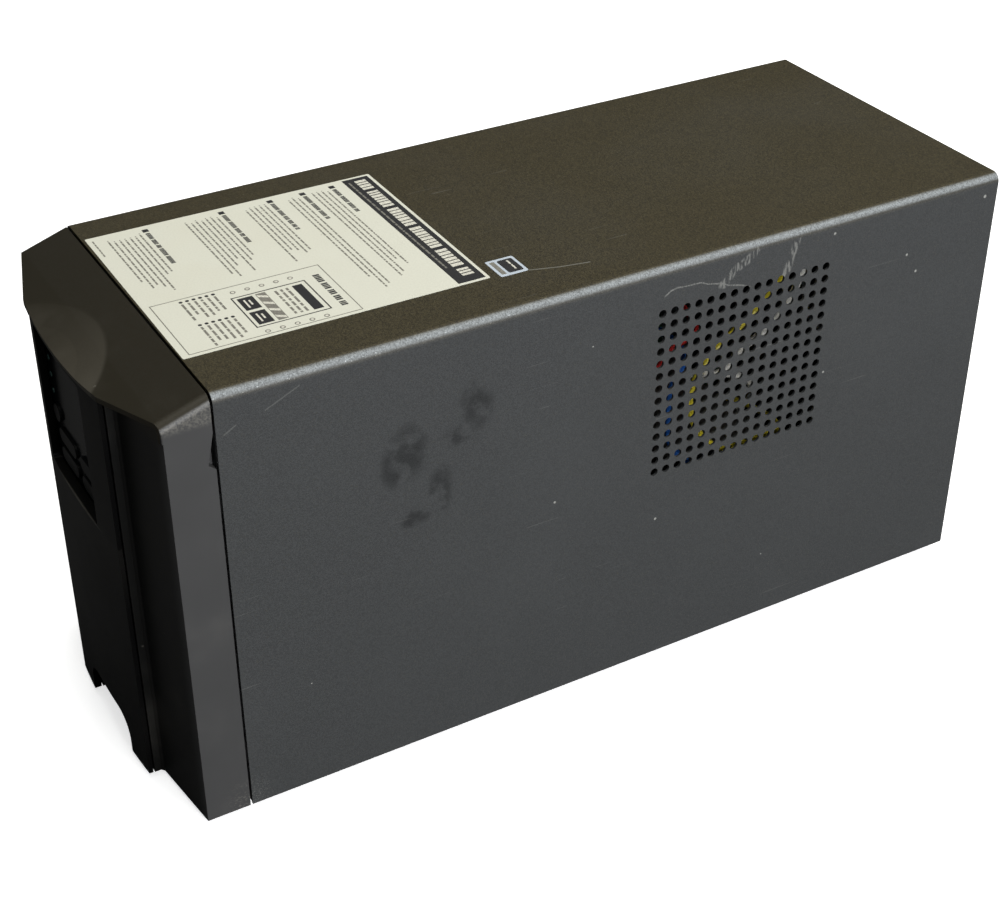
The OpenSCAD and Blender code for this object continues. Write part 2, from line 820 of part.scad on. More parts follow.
module power_transistors() {
    x0 = main_board_x + board_t;
    color("#1d1d1f")
        for (y = heatsink_y, i = [0:3])
            translate([x0, y + i * 10.4, 53]) cube([4.6, 8, 6.8]);
}

module relays() {
    x0 = main_board_x + board_t;
    color("#3a3f46")
        for (i = [0:3])
            translate([x0, 34 + i * 22, 20]) cube([16, 16, 24]);
}

module capacitors() {
    x0 = main_board_x + board_t;
    color("#25324a")
        for (i = [0, 1], j = [0, 1])
            rod_x([128 + i * 20, 22 + j * 19], 9, x0, x0 + 26);
}

// ---------------------------------------------------------------- fan

// The square of the fan with its bore, in X and Z
module fan_square() {
    half = fan_side / 2;
    difference() {
        translate(fan_spot) round_rect([-half, -half], [half, half], 3);
        translate(fan_spot) circle(fan_bore_r);
        for (spot = fan_screw_spots)
            translate(spot) circle(screw_r + 0.05);
    }
}

// The motor plate on its four arms, with the bearing in the middle
module fan_spider() {
    difference() {
        translate(fan_spot) {
            circle(hub_r);
            for (a = [45:90:315])
                rotate(a) translate([hub_r - 2, -2]) square([fan_bore_r - hub_r + 4, 4]);
        }
        translate(fan_spot) circle(shaft_r + 0.05);
    }
}

module fan_frame() {
    color("#202022") {
        upright(fan_y0, fan_y0 + 3) {
            fan_square();
            fan_spider();
        }
        upright(fan_y0 + 3, panel_in_y) fan_square();
    }
}

module fan_rotor() {
    y0 = fan_y0 + 3.6;
    y1 = panel_in_y - 2;
    color("#2a2a2c") {
        rod_y(fan_spot, hub_r, y0, y1);
        rod_y(fan_spot, shaft_r, fan_y0 + 0.4, y0);
        for (i = [0:fan_blades - 1])
            translate([fan_spot[0], (y0 + y1) / 2, fan_spot[1]])
                rotate([0, i * 360 / fan_blades, 0]) translate([hub_r - 1, 0, 0])
                    rotate([40, 0, 0]) translate([0, -1, -11.5])
                        cube([fan_bore_r - hub_r - 0.6, 2, 23]);
    }
}

module fan_guard() {
    wire = 0.9;
    eye_r = fan_screw_offset * sqrt(2);
    color("silver") translate([fan_spot[0], panel_y + wire, fan_spot[1]]) rotate([-90, 0, 0]) {
        for (r = [9:7:37])
            rotate_extrude() translate([r, 0]) circle(wire, $fn = 16);
        for (a = [45:90:315])
            rotate([0, 0, a]) difference() {
                union() {
                    translate([9, -wire, -wire]) cube([eye_r - 9, 2 * wire, 2 * wire]);
                    translate([eye_r, 0, -wire]) cylinder(h = 2 * wire, r = screw_head_r);
                }
                translate([eye_r, 0, -2]) cylinder(h = 4, r = screw_r + 0.1);
            }
    }
}

// ---------------------------------------------------------------- rear panel

// A rectangle with two cut corners, the shape of a three-pin plug's shroud
module shroud_outline(w, h, cut) {
    polygon([[-w / 2, -h / 2], [w / 2, -h / 2], [w / 2, h / 2 - cut], [w / 2 - cut, h / 2],
        [-w / 2 + cut, h / 2], [-w / 2, h / 2 - cut]]);
}

function outlet_x(i) = (i - (outlet_count - 1) / 2) * outlet_pitch;

module rear_panel() {
    color("#3e3f42") difference() {
        box([-chassis_half, panel_in_y, floor_z], [chassis_half, panel_y, body_h - steel_t - 0.2]);
        upright(panel_in_y - 1, panel_y + 1) {
            translate(fan_spot) circle(fan_bore_r + 0.5);
            for (z = outlet_rows)
                translate([-outlet_pitch * 2 + 1, z - 13]) square([outlet_pitch * 4 - 2, 26]);
            translate(inlet_spot) square([30, 22], center = true);
            translate([service_x, breaker_z]) circle(6.2);
            translate([service_x - 7, network_z - 6]) square([14, 12]);
            translate([service_x - 6.5, usb_z - 6]) square([13, 12]);
            translate([slot_x[0] + 6, slot_z[0] + 8])
                square([slot_x[1] - slot_x[0] - 12, slot_z[1] - slot_z[0] - 16]);
            for (x = cover_screw_x)
                translate([x, 213]) circle(screw_r + 0.05);
            for (spot = fan_screw_spots)
                translate(spot) circle(screw_r + 0.05);
            for (dx = [-20, 20])
                translate([inlet_spot[0] + dx, inlet_spot[1]]) circle(screw_r + 0.05);
            for (z = [slot_z[0] + 4, slot_z[1] - 4])
                translate([(slot_x[0] + slot_x[1]) / 2, z]) circle(screw_r + 0.05);
            translate([service_x, ground_z]) circle(screw_r + 0.05);
        }
    }
}

module outlet_bank(z) {
    color("#17171a") difference() {
        union() {
            box([-outlet_pitch * 2 + 1.2, panel_y - outlet_depth, z - 12.8],
                [outlet_pitch * 2 - 1.2, panel_y, z + 12.8]);
            box([-outlet_pitch * 2 - 1.5, panel_y, z - 15.5],
                [outlet_pitch * 2 + 1.5, panel_y + 2, z + 15.5]);
        }
        for (i = [0:outlet_count - 1])
            translate([outlet_x(i), 0, z]) {
                upright(panel_y - 15, panel_y + 3) difference() {
                    shroud_outline(28, 20.4, 5);
                    shroud_outline(21, 13.4, 3.6);
                }
                // slots for the three blades
                for (p = [[-7, -1.6], [0, 2.4], [7, -1.6]])
                    translate([p[0] - 1.1, panel_y - 15, p[1] - 2.2]) cube([2.2, 18, 4.4]);
            }
    }
}

module outlet_bank_upper() {
    outlet_bank(outlet_rows[1]);
}

module outlet_bank_lower() {
    outlet_bank(outlet_rows[0]);
}

// The solder tails that stand out of the back of every outlet
module outlet_contacts() {
    color("#c9a24a")
        for (z = outlet_rows, i = [0:outlet_count - 1], p = [[-7, -1.6], [0, 2.4], [7, -1.6]])
            translate([outlet_x(i) + p[0] - 0.4, panel_y - outlet_depth - 8, z + p[1] - 2.4])
                cube([0.8, 8, 4.8]);
}

module power_inlet() {
    color("#17171a") difference() {
        union() {
            upright(panel_y, panel_y + 2) difference() {
                translate(inlet_spot) inlet_flange();
                for (dx = [-20, 20])
                    translate([inlet_spot[0] + dx, inlet_spot[1]]) circle(screw_r + 0.1);
            }
            translate([inlet_spot[0], 0, inlet_spot[1]])
                upright(panel_y - 22, panel_y) shroud_outline(29.4, 21.4, 5);
        }
        translate([inlet_spot[0], 0, inlet_spot[1]])
            upright(panel_y - 17, panel_y + 3) shroud_outline(24.6, 16.8, 4.6);
    }
}

// The flange of the inlet, with an ear each side for its screws
module inlet_flange() {
    round_rect([-25, -12.5], [25, 12.5], 4);
}

module inlet_pins() {
    color("#d9d9d4")
        for (p = [[-7, -2], [0, 2], [7, -2]])
            translate([inlet_spot[0] + p[0] - 1, panel_y - 17, inlet_spot[1] + p[1] - 2])
                cube([2, 15, 4]);
}

module breaker_body() {
    color("#1b1b1d") difference() {
        union() {
            rod_y([service_x, breaker_z], 6, panel_y - 6, panel_y + 0.1);
            rod_y([service_x, breaker_z], 8, panel_y, panel_y + 1.6);
            box([service_x - 8, panel_y - 34, breaker_z - 14],
                [service_x + 8, panel_y - 6, breaker_z + 14]);
        }
        rod_y([service_x, breaker_z], 3.9, panel_y - 14, panel_y + 3);
    }
}

module breaker_reset_button() {
    color("#c9c9c6") rod_y([service_x, breaker_z], 3.5, panel_y - 10, panel_y + 1.9);
}

module slot_cover() {
    mid = (slot_x[0] + slot_x[1]) / 2;
    color("#55575a") difference() {
        box([slot_x[0], panel_y, slot_z[0]], [slot_x[1], panel_y + steel_t - 0.4, slot_z[1]]);
        for (z = [slot_z[0] + 4, slot_z[1] - 4])
            rod_y([mid, z], screw_r + 0.1, panel_y - 1, panel_y + 3);
    }
}

module rear_screws() {
    mid = (slot_x[0] + slot_x[1]) / 2;
    color("#b4b6b8") {
        for (x = cover_screw_x)
            rear_screw([x, 213], panel_y + 0.1 + steel_t, 5);
        for (dx = [-20, 20])
            rear_screw([inlet_spot[0] + dx, inlet_spot[1]], panel_y + 2, 5);
        for (z = [slot_z[0] + 4, slot_z[1] - 4])
            rear_screw([mid, z], panel_y + steel_t - 0.4, 5);
        for (spot = fan_screw_spots)
            rear_screw(spot, panel_y + 1.8, 24);
        rear_screw([service_x, ground_z], panel_y, 8);
    }
}

module usb_port() {
    color("silver") difference() {
        box([service_x - 6, panel_y - 16, usb_z - 5.5], [service_x + 6, panel_y + 0.6, usb_z + 5.5]);
        translate([service_x, 0, usb_z]) difference() {
            upright(panel_y - 9, panel_y + 2) shroud_outline(8.6, 7.9, 1.4);
            upright(panel_y - 10, panel_y - 1) translate([-2.8, -1.6]) square([5.6, 3.2]);
        }
    }
}

module network_port() {
    color("#1d1d20") difference() {
        box([service_x - 6.8, panel_y - 18, network_z - 5.8],
            [service_x + 6.8, panel_y + 0.6, network_z + 5.8]);
        box([service_x - 5.9, panel_y - 13, network_z - 4.2],
            [service_x + 5.9, panel_y + 2, network_z + 3.4]);
        box([service_x - 3, panel_y - 13, network_z - 5],
            [service_x + 3, panel_y + 2, network_z - 4]);
    }
}

// ---------------------------------------------------------------- leads and labels

module wire_yellow() {
    color("#c8a818") tube_along(yellow_route, wire_r);
}

module wire_white() {
    color("#c9c7bd") tube_along(white_route, wire_r);
}

module wire_blue() {
    color("#1d4f8f") tube_along(blue_route, wire_r);
}

module wire_red() {
    color("#a5241f") tube_along(red_route, wire_r);
}

module sticker(size, spot, turn) {
    translate([spot[0], spot[1], body_h]) rotate([0, 0, turn]) linear_extrude(label_t)
        round_rect(-size / 2, size / 2, 1.5);
}

module top_label() {
    color("#e4e2d2") sticker(label_size, label_spot, label_turn);
}

module badge_label() {
    color("#c8d0d8") sticker(badge_size, badge_spot, label_turn);
}

base_chassis();
battery_partition();
rear_panel();
outer_cover();
rubber_feet();
front_bezel();
centre_fascia();
display_housing();
display_lens();
lcd_panel();
display_board();
status_light_pipes();
display_plug();
display_socket();
power_button();
up_key();
down_key();
escape_key();
enter_key();
battery_door();
door_thumb_screws();
battery_case_left();
battery_case_right();
battery_plates();
battery_terminals();
battery_leads();
battery_plug();
battery_socket();
battery_pull_strap();
transformer_core();
transformer_coil();
transformer_bracket();
transformer_bolts();
main_board();
board_standoffs();
heatsinks();
power_transistors();
relays();
capacitors();
fan_frame();
fan_rotor();
fan_guard();
outlet_bank_upper();
outlet_bank_lower();
outlet_contacts();
power_inlet();
inlet_pins();
breaker_body();
breaker_reset_button();
slot_cover();
rear_screws();
usb_port();
network_port();
wire_yellow();
wire_white();
wire_blue();
wire_red();
top_label();
badge_label();
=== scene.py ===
import json
import logging
import math
import random
from dataclasses import dataclass, field
from enum import Enum
from typing import Any, Callable, Iterable, Sequence

import bmesh
import bpy
from mathutils import Matrix, Vector


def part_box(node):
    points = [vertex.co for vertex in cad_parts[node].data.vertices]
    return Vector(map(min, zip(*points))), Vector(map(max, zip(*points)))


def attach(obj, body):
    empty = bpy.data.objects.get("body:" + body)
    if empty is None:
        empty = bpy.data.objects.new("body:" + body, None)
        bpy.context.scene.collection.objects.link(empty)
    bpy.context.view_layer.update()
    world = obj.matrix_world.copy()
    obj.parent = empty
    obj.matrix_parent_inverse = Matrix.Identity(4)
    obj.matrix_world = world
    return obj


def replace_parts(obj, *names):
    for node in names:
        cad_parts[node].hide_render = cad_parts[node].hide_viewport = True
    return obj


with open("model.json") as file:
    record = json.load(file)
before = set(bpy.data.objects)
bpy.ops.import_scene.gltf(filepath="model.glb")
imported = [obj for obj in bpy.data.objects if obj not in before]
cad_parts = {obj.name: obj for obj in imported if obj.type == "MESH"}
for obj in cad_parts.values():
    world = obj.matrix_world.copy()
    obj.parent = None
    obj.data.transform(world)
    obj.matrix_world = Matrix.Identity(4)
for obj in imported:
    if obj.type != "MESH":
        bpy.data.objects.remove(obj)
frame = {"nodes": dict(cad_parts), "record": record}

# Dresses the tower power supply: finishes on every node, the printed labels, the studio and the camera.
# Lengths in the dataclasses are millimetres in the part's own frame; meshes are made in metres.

MM = 0.001
Tone = tuple[float, float, float]
Spot = tuple[float, float]
log = logging.getLogger("power_supply")


def srgb(red: float, green: float, blue: float) -> Tone:
    """Turns display values from 0 to 255 into linear ones.

    Args:
        red: Display value of the red part.
        green: Display value of the green part.
        blue: Display value of the blue part.

    Returns:
        The linear colour.
    """
    def one(value: float) -> float:
        """One channel."""
        v = value / 255
        return v / 12.92 if v <= 0.04045 else ((v + 0.055) / 1.055) ** 2.4

    return one(red), one(green), one(blue)


def scaled(tone: Tone, factor: float) -> Tone:
    """The same colour, lighter or darker."""
    return tone[0] * factor, tone[1] * factor, tone[2] * factor


class Body(Enum):
    """Bodies of the mechanism that pieces ride on."""

    CHASSIS = "chassis"
    BEZEL = "bezel"
    DOOR = "battery_door"
    BATTERY = "battery_pack"
    FAN = "fan_rotor"


class Grain(Enum):
    """Direction of the brushing on a sheet."""

    X = 0
    Y = 1
    Z = 2


# ---------------------------------------------------------------- shader writing


class Wire:
    """One output socket, with arithmetic that adds Math nodes."""

    def __init__(self, shop: "Shop", socket: bpy.types.NodeSocket) -> None:
        """Wraps a socket of the shop's tree."""
        self.shop = shop
        self.socket = socket

    def _math(self, operation: str, first: Any, second: Any) -> "Wire":
        """Adds one Math node.

        Args:
            operation: Name of the operation.
            first: Value or wire of the first input.
            second: Value or wire of the second input.

        Returns:
            The result.
        """
        return self.shop.node("ShaderNodeMath", {"operation": operation}, {0: first, 1: second})

    def __add__(self, other: Any) -> "Wire":
        """Sum."""
        return self._math("ADD", self, other)

    __radd__ = __add__

    def __sub__(self, other: Any) -> "Wire":
        """Difference."""
        return self._math("SUBTRACT", self, other)

    def __rsub__(self, other: Any) -> "Wire":
        """Difference from a number."""
        return self._math("SUBTRACT", other, self)

    def __mul__(self, other: Any) -> "Wire":
        """Product."""
        return self._math("MULTIPLY", self, other)

    __rmul__ = __mul__

    def __truediv__(self, other: Any) -> "Wire":
        """Quotient."""
        return self._math("DIVIDE", self, other)

    def __gt__(self, other: Any) -> "Wire":
        """1 where this is greater."""
        return self._math("GREATER_THAN", self, other)

    def __abs__(self) -> "Wire":
        """Distance from nought."""
        return self._math("ABSOLUTE", self, 0.0)

    def top(self, other: Any) -> "Wire":
        """The greater of the two."""
        return self._math("MAXIMUM", self, other)

    def least(self, other: Any) -> "Wire":
        """The smaller of the two."""
        return self._math("MINIMUM", self, other)

    def power(self, exponent: float) -> "Wire":
        """This raised to a power."""
        return self._math("POWER", self, exponent)

    def ramp(self, low: float, high: float, start: float = 0.0, end: float = 1.0) -> "Wire":
        """Eases from start to end while this goes from low to high.

        Args:
            low: Value where the easing starts.
            high: Value where it ends.
            start: Result at and below low.
            end: Result at and above high.

        Returns:
            The eased value.
        """
        if low > high:
            low, high, start, end = high, low, end, start
        return self.shop.node(
            "ShaderNodeMapRange", {"interpolation_type": "SMOOTHSTEP"},
            {"Value": self, "From Min": low, "From Max": high, "To Min": start, "To Max": end})


class Shop:
    """One material's nodes, measured in millimetres of the part's frame."""

    def __init__(self, name: str) -> None:
        """Makes an empty material with its shader and its coordinates."""
        self.material = bpy.data.materials.new(name)
        self.material.use_nodes = True
        self.tree = self.material.node_tree
        self.tree.nodes.clear()
        self.shader = self.tree.nodes.new("ShaderNodeBsdfPrincipled")
        out = self.tree.nodes.new("ShaderNodeOutputMaterial")
        self.tree.links.new(self.shader.outputs[0], out.inputs[0])
        metres = self.node("ShaderNodeTexCoord", {}, {}, "Object")
        self.place = self.node("ShaderNodeVectorMath", {"operation": "SCALE"}, {0: metres, "Scale": 1 / MM})
        self.x, self.y, self.z = (self.node("ShaderNodeSeparateXYZ", {}, {0: self.place}, i) for i in range(3))

    def node(self, kind: str, settings: dict[str, Any], sockets: dict[Any, Any], out: Any = 0) -> Wire:
        """Adds a node.

        Args:
            kind: Type of the node.
            settings: Its properties, set first; "stops" fills a colour ramp.
            sockets: Values or wires of its inputs, by name or number.
            out: Name or number of the output wanted.

        Returns:
            That output.
        """
        made = self.tree.nodes.new(kind)
        for key, value in settings.items():
            if key == "stops":
                for i, (at, colour) in enumerate(value):
                    stop = made.color_ramp.elements[i] if i < 2 else made.color_ramp.elements.new(at)
                    stop.position = at
                    stop.color = (*colour, 1.0)
            else:
                setattr(made, key, value)
        for key, value in sockets.items():
            self.feed(made.inputs[key], value)
        return Wire(self, made.outputs[out])

    def feed(self, socket: bpy.types.NodeSocket, value: Any) -> None:
        """Links a wire to an input or sets its value.

        Args:
            socket: The input.
            value: A wire, a number, a colour or a vector.
        """
        if isinstance(value, Wire):
            self.tree.links.new(value.socket, socket)
        elif isinstance(value, (tuple, list)) and socket.type == "RGBA":
            socket.default_value = (*value[:3], 1.0)
        else:
            socket.default_value = value

    def set(self, **inputs: Any) -> None:
        """Fills inputs of the shader.

        Args:
            inputs: Values by the input's name, with _ for a space.
        """
        for key, value in inputs.items():
            self.feed(self.shader.inputs[key.replace("_", " ")], value)

    def stretched(self, factors: Sequence[float]) -> Wire:
        """The place multiplied axis by axis."""
        return self.node("ShaderNodeVectorMath", {"operation": "MULTIPLY"}, {0: self.place, 1: tuple(factors)})

    def noise(self, per_mm: float, detail: float = 3.0, where: Wire | None = None, seed: float = 0.0) -> Wire:
        """Soft noise from 0 to 1.

        Args:
            per_mm: Features to a millimetre.
            detail: Number of finer layers.
            where: Coordinates, or the place if left out.
            seed: Shift that makes another pattern.

        Returns:
            The noise.
        """
        return self.node(
            "ShaderNodeTexNoise", {"noise_dimensions": "4D"},
            {"Vector": where or self.place, "Scale": per_mm, "Detail": detail, "W": seed})

    def grains(self, per_mm: float, where: Wire | None = None) -> Wire:
        """A random value from 0 to 1 for each small cell."""
        colour = self.node(
            "ShaderNodeTexVoronoi", {}, {"Vector": where or self.place, "Scale": per_mm}, "Color")
        return self.node("ShaderNodeSeparateColor", {}, {0: colour}, 0)

    def cells(self, per_mm: float, where: Wire | None = None) -> Wire:
        """Distance to the nearest of scattered points, in cells."""
        return self.node(
            "ShaderNodeTexVoronoi", {}, {"Vector": where or self.place, "Scale": per_mm}, "Distance")

    def blend(self, first: Any, second: Any, factor: Any) -> Wire:
        """Mixes two colours.

        Args:
            first: Colour at factor 0.
            second: Colour at factor 1.
            factor: How much of the second.

        Returns:
            The mixed colour.
        """
        return self.node("ShaderNodeMix", {"data_type": "RGBA"}, {0: factor, 6: first, 7: second}, 2)

    def bump(self, height: Wire, depth_mm: float, strength: float = 1.0, under: Wire | None = None) -> Wire:
        """Turns a height into a normal.

        Args:
            height: The height, from 0 to 1.
            depth_mm: Millimetres between 0 and 1.
            strength: How much of it shows.
            under: Normal to build on.

        Returns:
            The normal.
        """
        sockets = {"Height": height, "Distance": depth_mm * MM, "Strength": strength}
        if under is not None:
            sockets["Normal"] = under
        return self.node("ShaderNodeBump", {}, sockets)

    def eased_edges(self, radius_mm: float) -> Wire:
        """A normal that rounds the edges a little."""
        return self.node("ShaderNodeBevel", {"samples": 3}, {"Radius": radius_mm * MM})

    def blot(self, p: Wire, q: Wire, centre: Spot, radii: Spot) -> Wire:
        """A soft oval on a face.

        Args:
            p: First coordinate on the face.
            q: Second coordinate.
            centre: Middle of the oval.
            radii: Its half sizes.

        Returns:
            1 in the middle, 0 outside.
        """
        a = (p - centre[0]) / radii[0]
        b = (q - centre[1]) / radii[1]
        return (a * a + b * b).ramp(1.0, 0.0)

    def line(self, p: Wire, q: Wire, start: Spot, end: Spot, width: float) -> Wire:
        """A soft straight stroke on a face.

        Args:
            p: First coordinate on the face.
            q: Second coordinate.
            start: One end.
            end: Other end.
            width: Full width.

        Returns:
            1 on the stroke, 0 off it.
        """
        run = (end[0] - start[0], end[1] - start[1])
        span = run[0] ** 2 + run[1] ** 2
        a, b = p - start[0], q - start[1]
        along = ((a * run[0] + b * run[1]) / span).top(0.0).least(1.0)
        da, db = a - along * run[0], b - along * run[1]
        return (da * da + db * db).ramp((width / 2) ** 2, (width / 4) ** 2)

    def path(self, p: Wire, q: Wire, points: Sequence[Spot], width: float) -> Wire:
        """A stroke through several points.

        Args:
            p: First coordinate on the face.
            q: Second coordinate.
            points: The points in order.
            width: Full width.

        Returns:
            1 on the stroke, 0 off it.
        """
        parts = [self.line(p, q, a, b, width) for a, b in zip(points, points[1:])]
        made = parts[0]
        for part in parts[1:]:
            made = made.top(part)
        return made


# ---------------------------------------------------------------- finishes


@dataclass(frozen=True)
class Finish:
    """What every finish shares."""

    name: str
    tone: Tone
    rough: float = 0.5

    def material(self) -> bpy.types.Material:
        """Makes the material once and returns it."""
        name = f"{self.name}_finish"
        made = bpy.data.materials.get(name)
        if made is None:
            shop = Shop(name)
            self.coat(shop)
            made = shop.material
            made.diffuse_color = (*self.tone, 1.0)
        return made

    def coat(self, shop: Shop) -> None:
        """Fills the shader.

        Args:
            shop: The material to fill.
        """
        raise NotImplementedError


@dataclass(frozen=True)
class PowderCoat(Finish):
    """Fine-textured powder coat with bright grains, worn spots from rubbing, a painted highlight along the folds
    and a top painted browner and darker as painted shade.
    """

    grain_mm: float = 0.5
    bright_share: float = 0.03
    half_width: float = 85.5
    top: float = 219.0
    seam: float = -182.5
    # painted shade: the browner, darker tone painted on the top of the cover
    painted_cover_top_shade: Tone = (0.040, 0.033, 0.016)
    # worn also switches on the painted shade of the top and the painted highlight along the folds
    worn: bool = True

    def coat(self, shop: Shop) -> None:
        """Fills the shader.

        Args:
            shop: The material to fill.
        """
        random_grain = shop.grains(1 / self.grain_mm)
        fine = shop.noise(1.6, 3)
        cloud = shop.noise(0.011, 4)
        # painted shade: the top is blended towards the browner, darker painted tone
        cap = shop.z.ramp(self.top - 5, self.top - 1.2) * float(self.worn)
        base = shop.blend(self.tone, self.painted_cover_top_shade, cap)
        mottle = (random_grain * 0.6 + fine * 0.4).ramp(0.2, 0.8)
        tone = shop.node("ShaderNodeVectorMath", {"operation": "SCALE"}, {0: base, "Scale": (mottle - 0.5) * (cap * 0.55 + 0.3) + 1.0})
        tone = shop.blend(tone, scaled(self.tone, 1.5), cloud.ramp(0.45, 0.75) * 0.12)
        bright = (random_grain > 1 - self.bright_share) * fine.ramp(0.35, 0.6)
        tone = shop.blend(tone, srgb(176, 170, 152), bright * 0.09)
        rough = cloud * 0.10 + (self.rough - 0.05) + fine * 0.08
        if self.worn:
            tone, rough = self.wear_and_painted_highlight(shop, tone, rough, random_grain, fine)
        relief = shop.bump(random_grain * 0.5 + fine, 0.06, 0.7)
        shop.set(Base_Color=tone, Roughness=rough - bright * 0.15, Metallic=bright * 0.5,
                 Normal=relief, Specular_IOR_Level=0.3)

    def wear_and_painted_highlight(self, shop: Shop, tone: Wire, rough: Wire, grain: Wire, fine: Wire) -> tuple[Wire, Wire]:
        """Adds a painted highlight along the folds, finger marks, scratches and chips.

        Args:
            shop: The material.
            tone: Colour so far.
            rough: Roughness so far.
            grain: Random value of the grains.
            fine: Fine noise.

        Returns:
            The new colour and roughness.
        """
        side = shop.x > self.half_width - 0.6
        cap = shop.z > self.top - 0.6
        sway = shop.noise(0.06, 2)
        y, z = shop.y + (sway - 0.5) * 7.0, shop.z + (shop.noise(0.07, 2, seed=4.0) - 0.5) * 7.0
        # painted highlight along the folds of the top
        away = abs(abs(shop.x) - self.half_width) + abs(shop.z - self.top)
        painted_fold_highlight = away.ramp(3.5, 2.2) * (fine * 0.35 + grain * 0.5 + 0.25)
        tone = shop.blend(tone, srgb(178, 186, 192), painted_fold_highlight.least(1.0) * 0.85)
        # finger marks on the right side
        marks = shop.blot(y, z, (-66, 178), (10, 15))
        for centre, radii in (((-99, 165), (12, 17)), ((-84, 141), (7, 15)), ((-97, 131), (10, 6)),
                              ((-107, 158), (7, 12)), ((-76, 166), (9, 7))):
            marks = marks.top(shop.blot(y, z, centre, radii))
        marks = marks * shop.noise(0.12, 3, seed=9.0).ramp(0.38, 0.6) * side
        tone = shop.blend(tone, scaled(self.tone, 0.45), marks * 0.75)
        rough = rough - marks * 0.10
        # long curved scratch and scuffs above the vent
        wide = shop.path(y, z, ((29, 204), (36, 207), (46, 206.5), (60, 202.5), (75, 197)), 1.0)
        chalk = shop.noise(0.5, 4, shop.stretched((1.0, 1.6, 0.5)), 12.0).ramp(0.46, 0.6)
        scuff = shop.path(y, z, ((60, 202), (66, 208), (77, 214)), 5.5)
        scuff = scuff.top(shop.path(y, z, ((95, 199), (99, 214)), 5.0)) * chalk
        thin = shop.path(shop.y, shop.z, ((-161, 205.5), (-146, 212.3)), 0.8)
        thin = thin.top(shop.path(shop.y, shop.z, ((-179, 199.5), (-174, 202.5)), 0.9))
        worn = (wide * fine.ramp(0.3, 0.6) * 0.5).top(scuff * 0.45).top(thin * 0.16) * side
        top_line = shop.path(shop.x, shop.y, ((58, -24), (62, -11), (64.6, 2.5)), 0.9) * cap
        worn = worn.top(top_line * 0.45)
        for centre, radius in (((30, 85), 0.9), ((-26, 114), 0.8), ((123.5, 138), 0.8), ((167, 189.5), 0.9),
                               ((174, 179), 0.9), ((121.5, 212), 0.9), ((212, 209), 1.1), ((-150, 60), 0.5),
                               ((-8, 190), 0.5), ((96, 40), 0.5)):
            worn = worn.top(shop.blot(shop.y, shop.z, centre, (radius, radius)) * side)
        # scuffs low at the seam, and a few faint hair lines anywhere
        low = (shop.y.ramp(self.seam + 14, self.seam) * shop.z.ramp(26, 3)) * fine.ramp(0.52, 0.68)
        hair = shop.grains(0.03, shop.stretched((1, 1, 1)))
        lines = shop.noise(0.9, 1, shop.stretched((1.0, 0.02, 1.4)), 2.0).ramp(0.70, 0.76)
        worn = worn.top(low * 0.5).top(lines * (hair > 0.8) * 0.18)
        tone = shop.blend(tone, srgb(168, 168, 162), worn * 0.7)
        return tone, rough + worn * 0.1


@dataclass(frozen=True)
class Moulding(Finish):
    """Moulded plastic with a fine grain, faint dust and rounded-looking edges."""

    grain_per_mm: float = 2.4
    depth_mm: float = 0.02
    dust: float = 0.15
    edge_mm: float = 0.0
    coat_weight: float = 0.0
    shine: float = 0.4

    def coat(self, shop: Shop) -> None:
        """Fills the shader.

        Args:
            shop: The material to fill.
        """
        fine = shop.noise(self.grain_per_mm, 3)
        cloud = shop.noise(0.03, 4, seed=1.0)
        speck = shop.cells(0.35)
        tone = shop.blend(scaled(self.tone, 0.85), scaled(self.tone, 1.2), cloud * 0.7 + fine * 0.3)
        tone = self.with_painted_light(shop, tone)
        dust = (cloud.ramp(0.5, 0.8) * self.dust).top(speck.ramp(0.09, 0.05) * cloud.ramp(0.5, 0.6) * self.dust)
        # dust, rubbing, and the painted highlights and sheen that extra adds, all lighten towards this pale colour
        tone = shop.blend(tone, srgb(150, 146, 136), self.extra(shop, dust))
        base = shop.eased_edges(self.edge_mm) if self.edge_mm else None
        shop.set(Base_Color=tone, Roughness=cloud * 0.12 + (self.rough - 0.06) + dust * 0.5,
                 Normal=shop.bump(fine, self.depth_mm, 0.6, base), Coat_Weight=self.coat_weight,
                 Specular_IOR_Level=self.shine)

    def with_painted_light(self, shop: Shop, tone: Wire) -> Wire:
        """The colour after painted light and shade; kinds of plastic that have them change it."""
        return tone

    def extra(self, shop: Shop, dust: Wire) -> Wire:
        """The share of dust, rubbing and painted highlights; kinds of plastic with marks or painted highlights add
        theirs.

        Args:
            shop: The material.
            dust: Share so far.

        Returns:
            The new share.
        """
        return dust


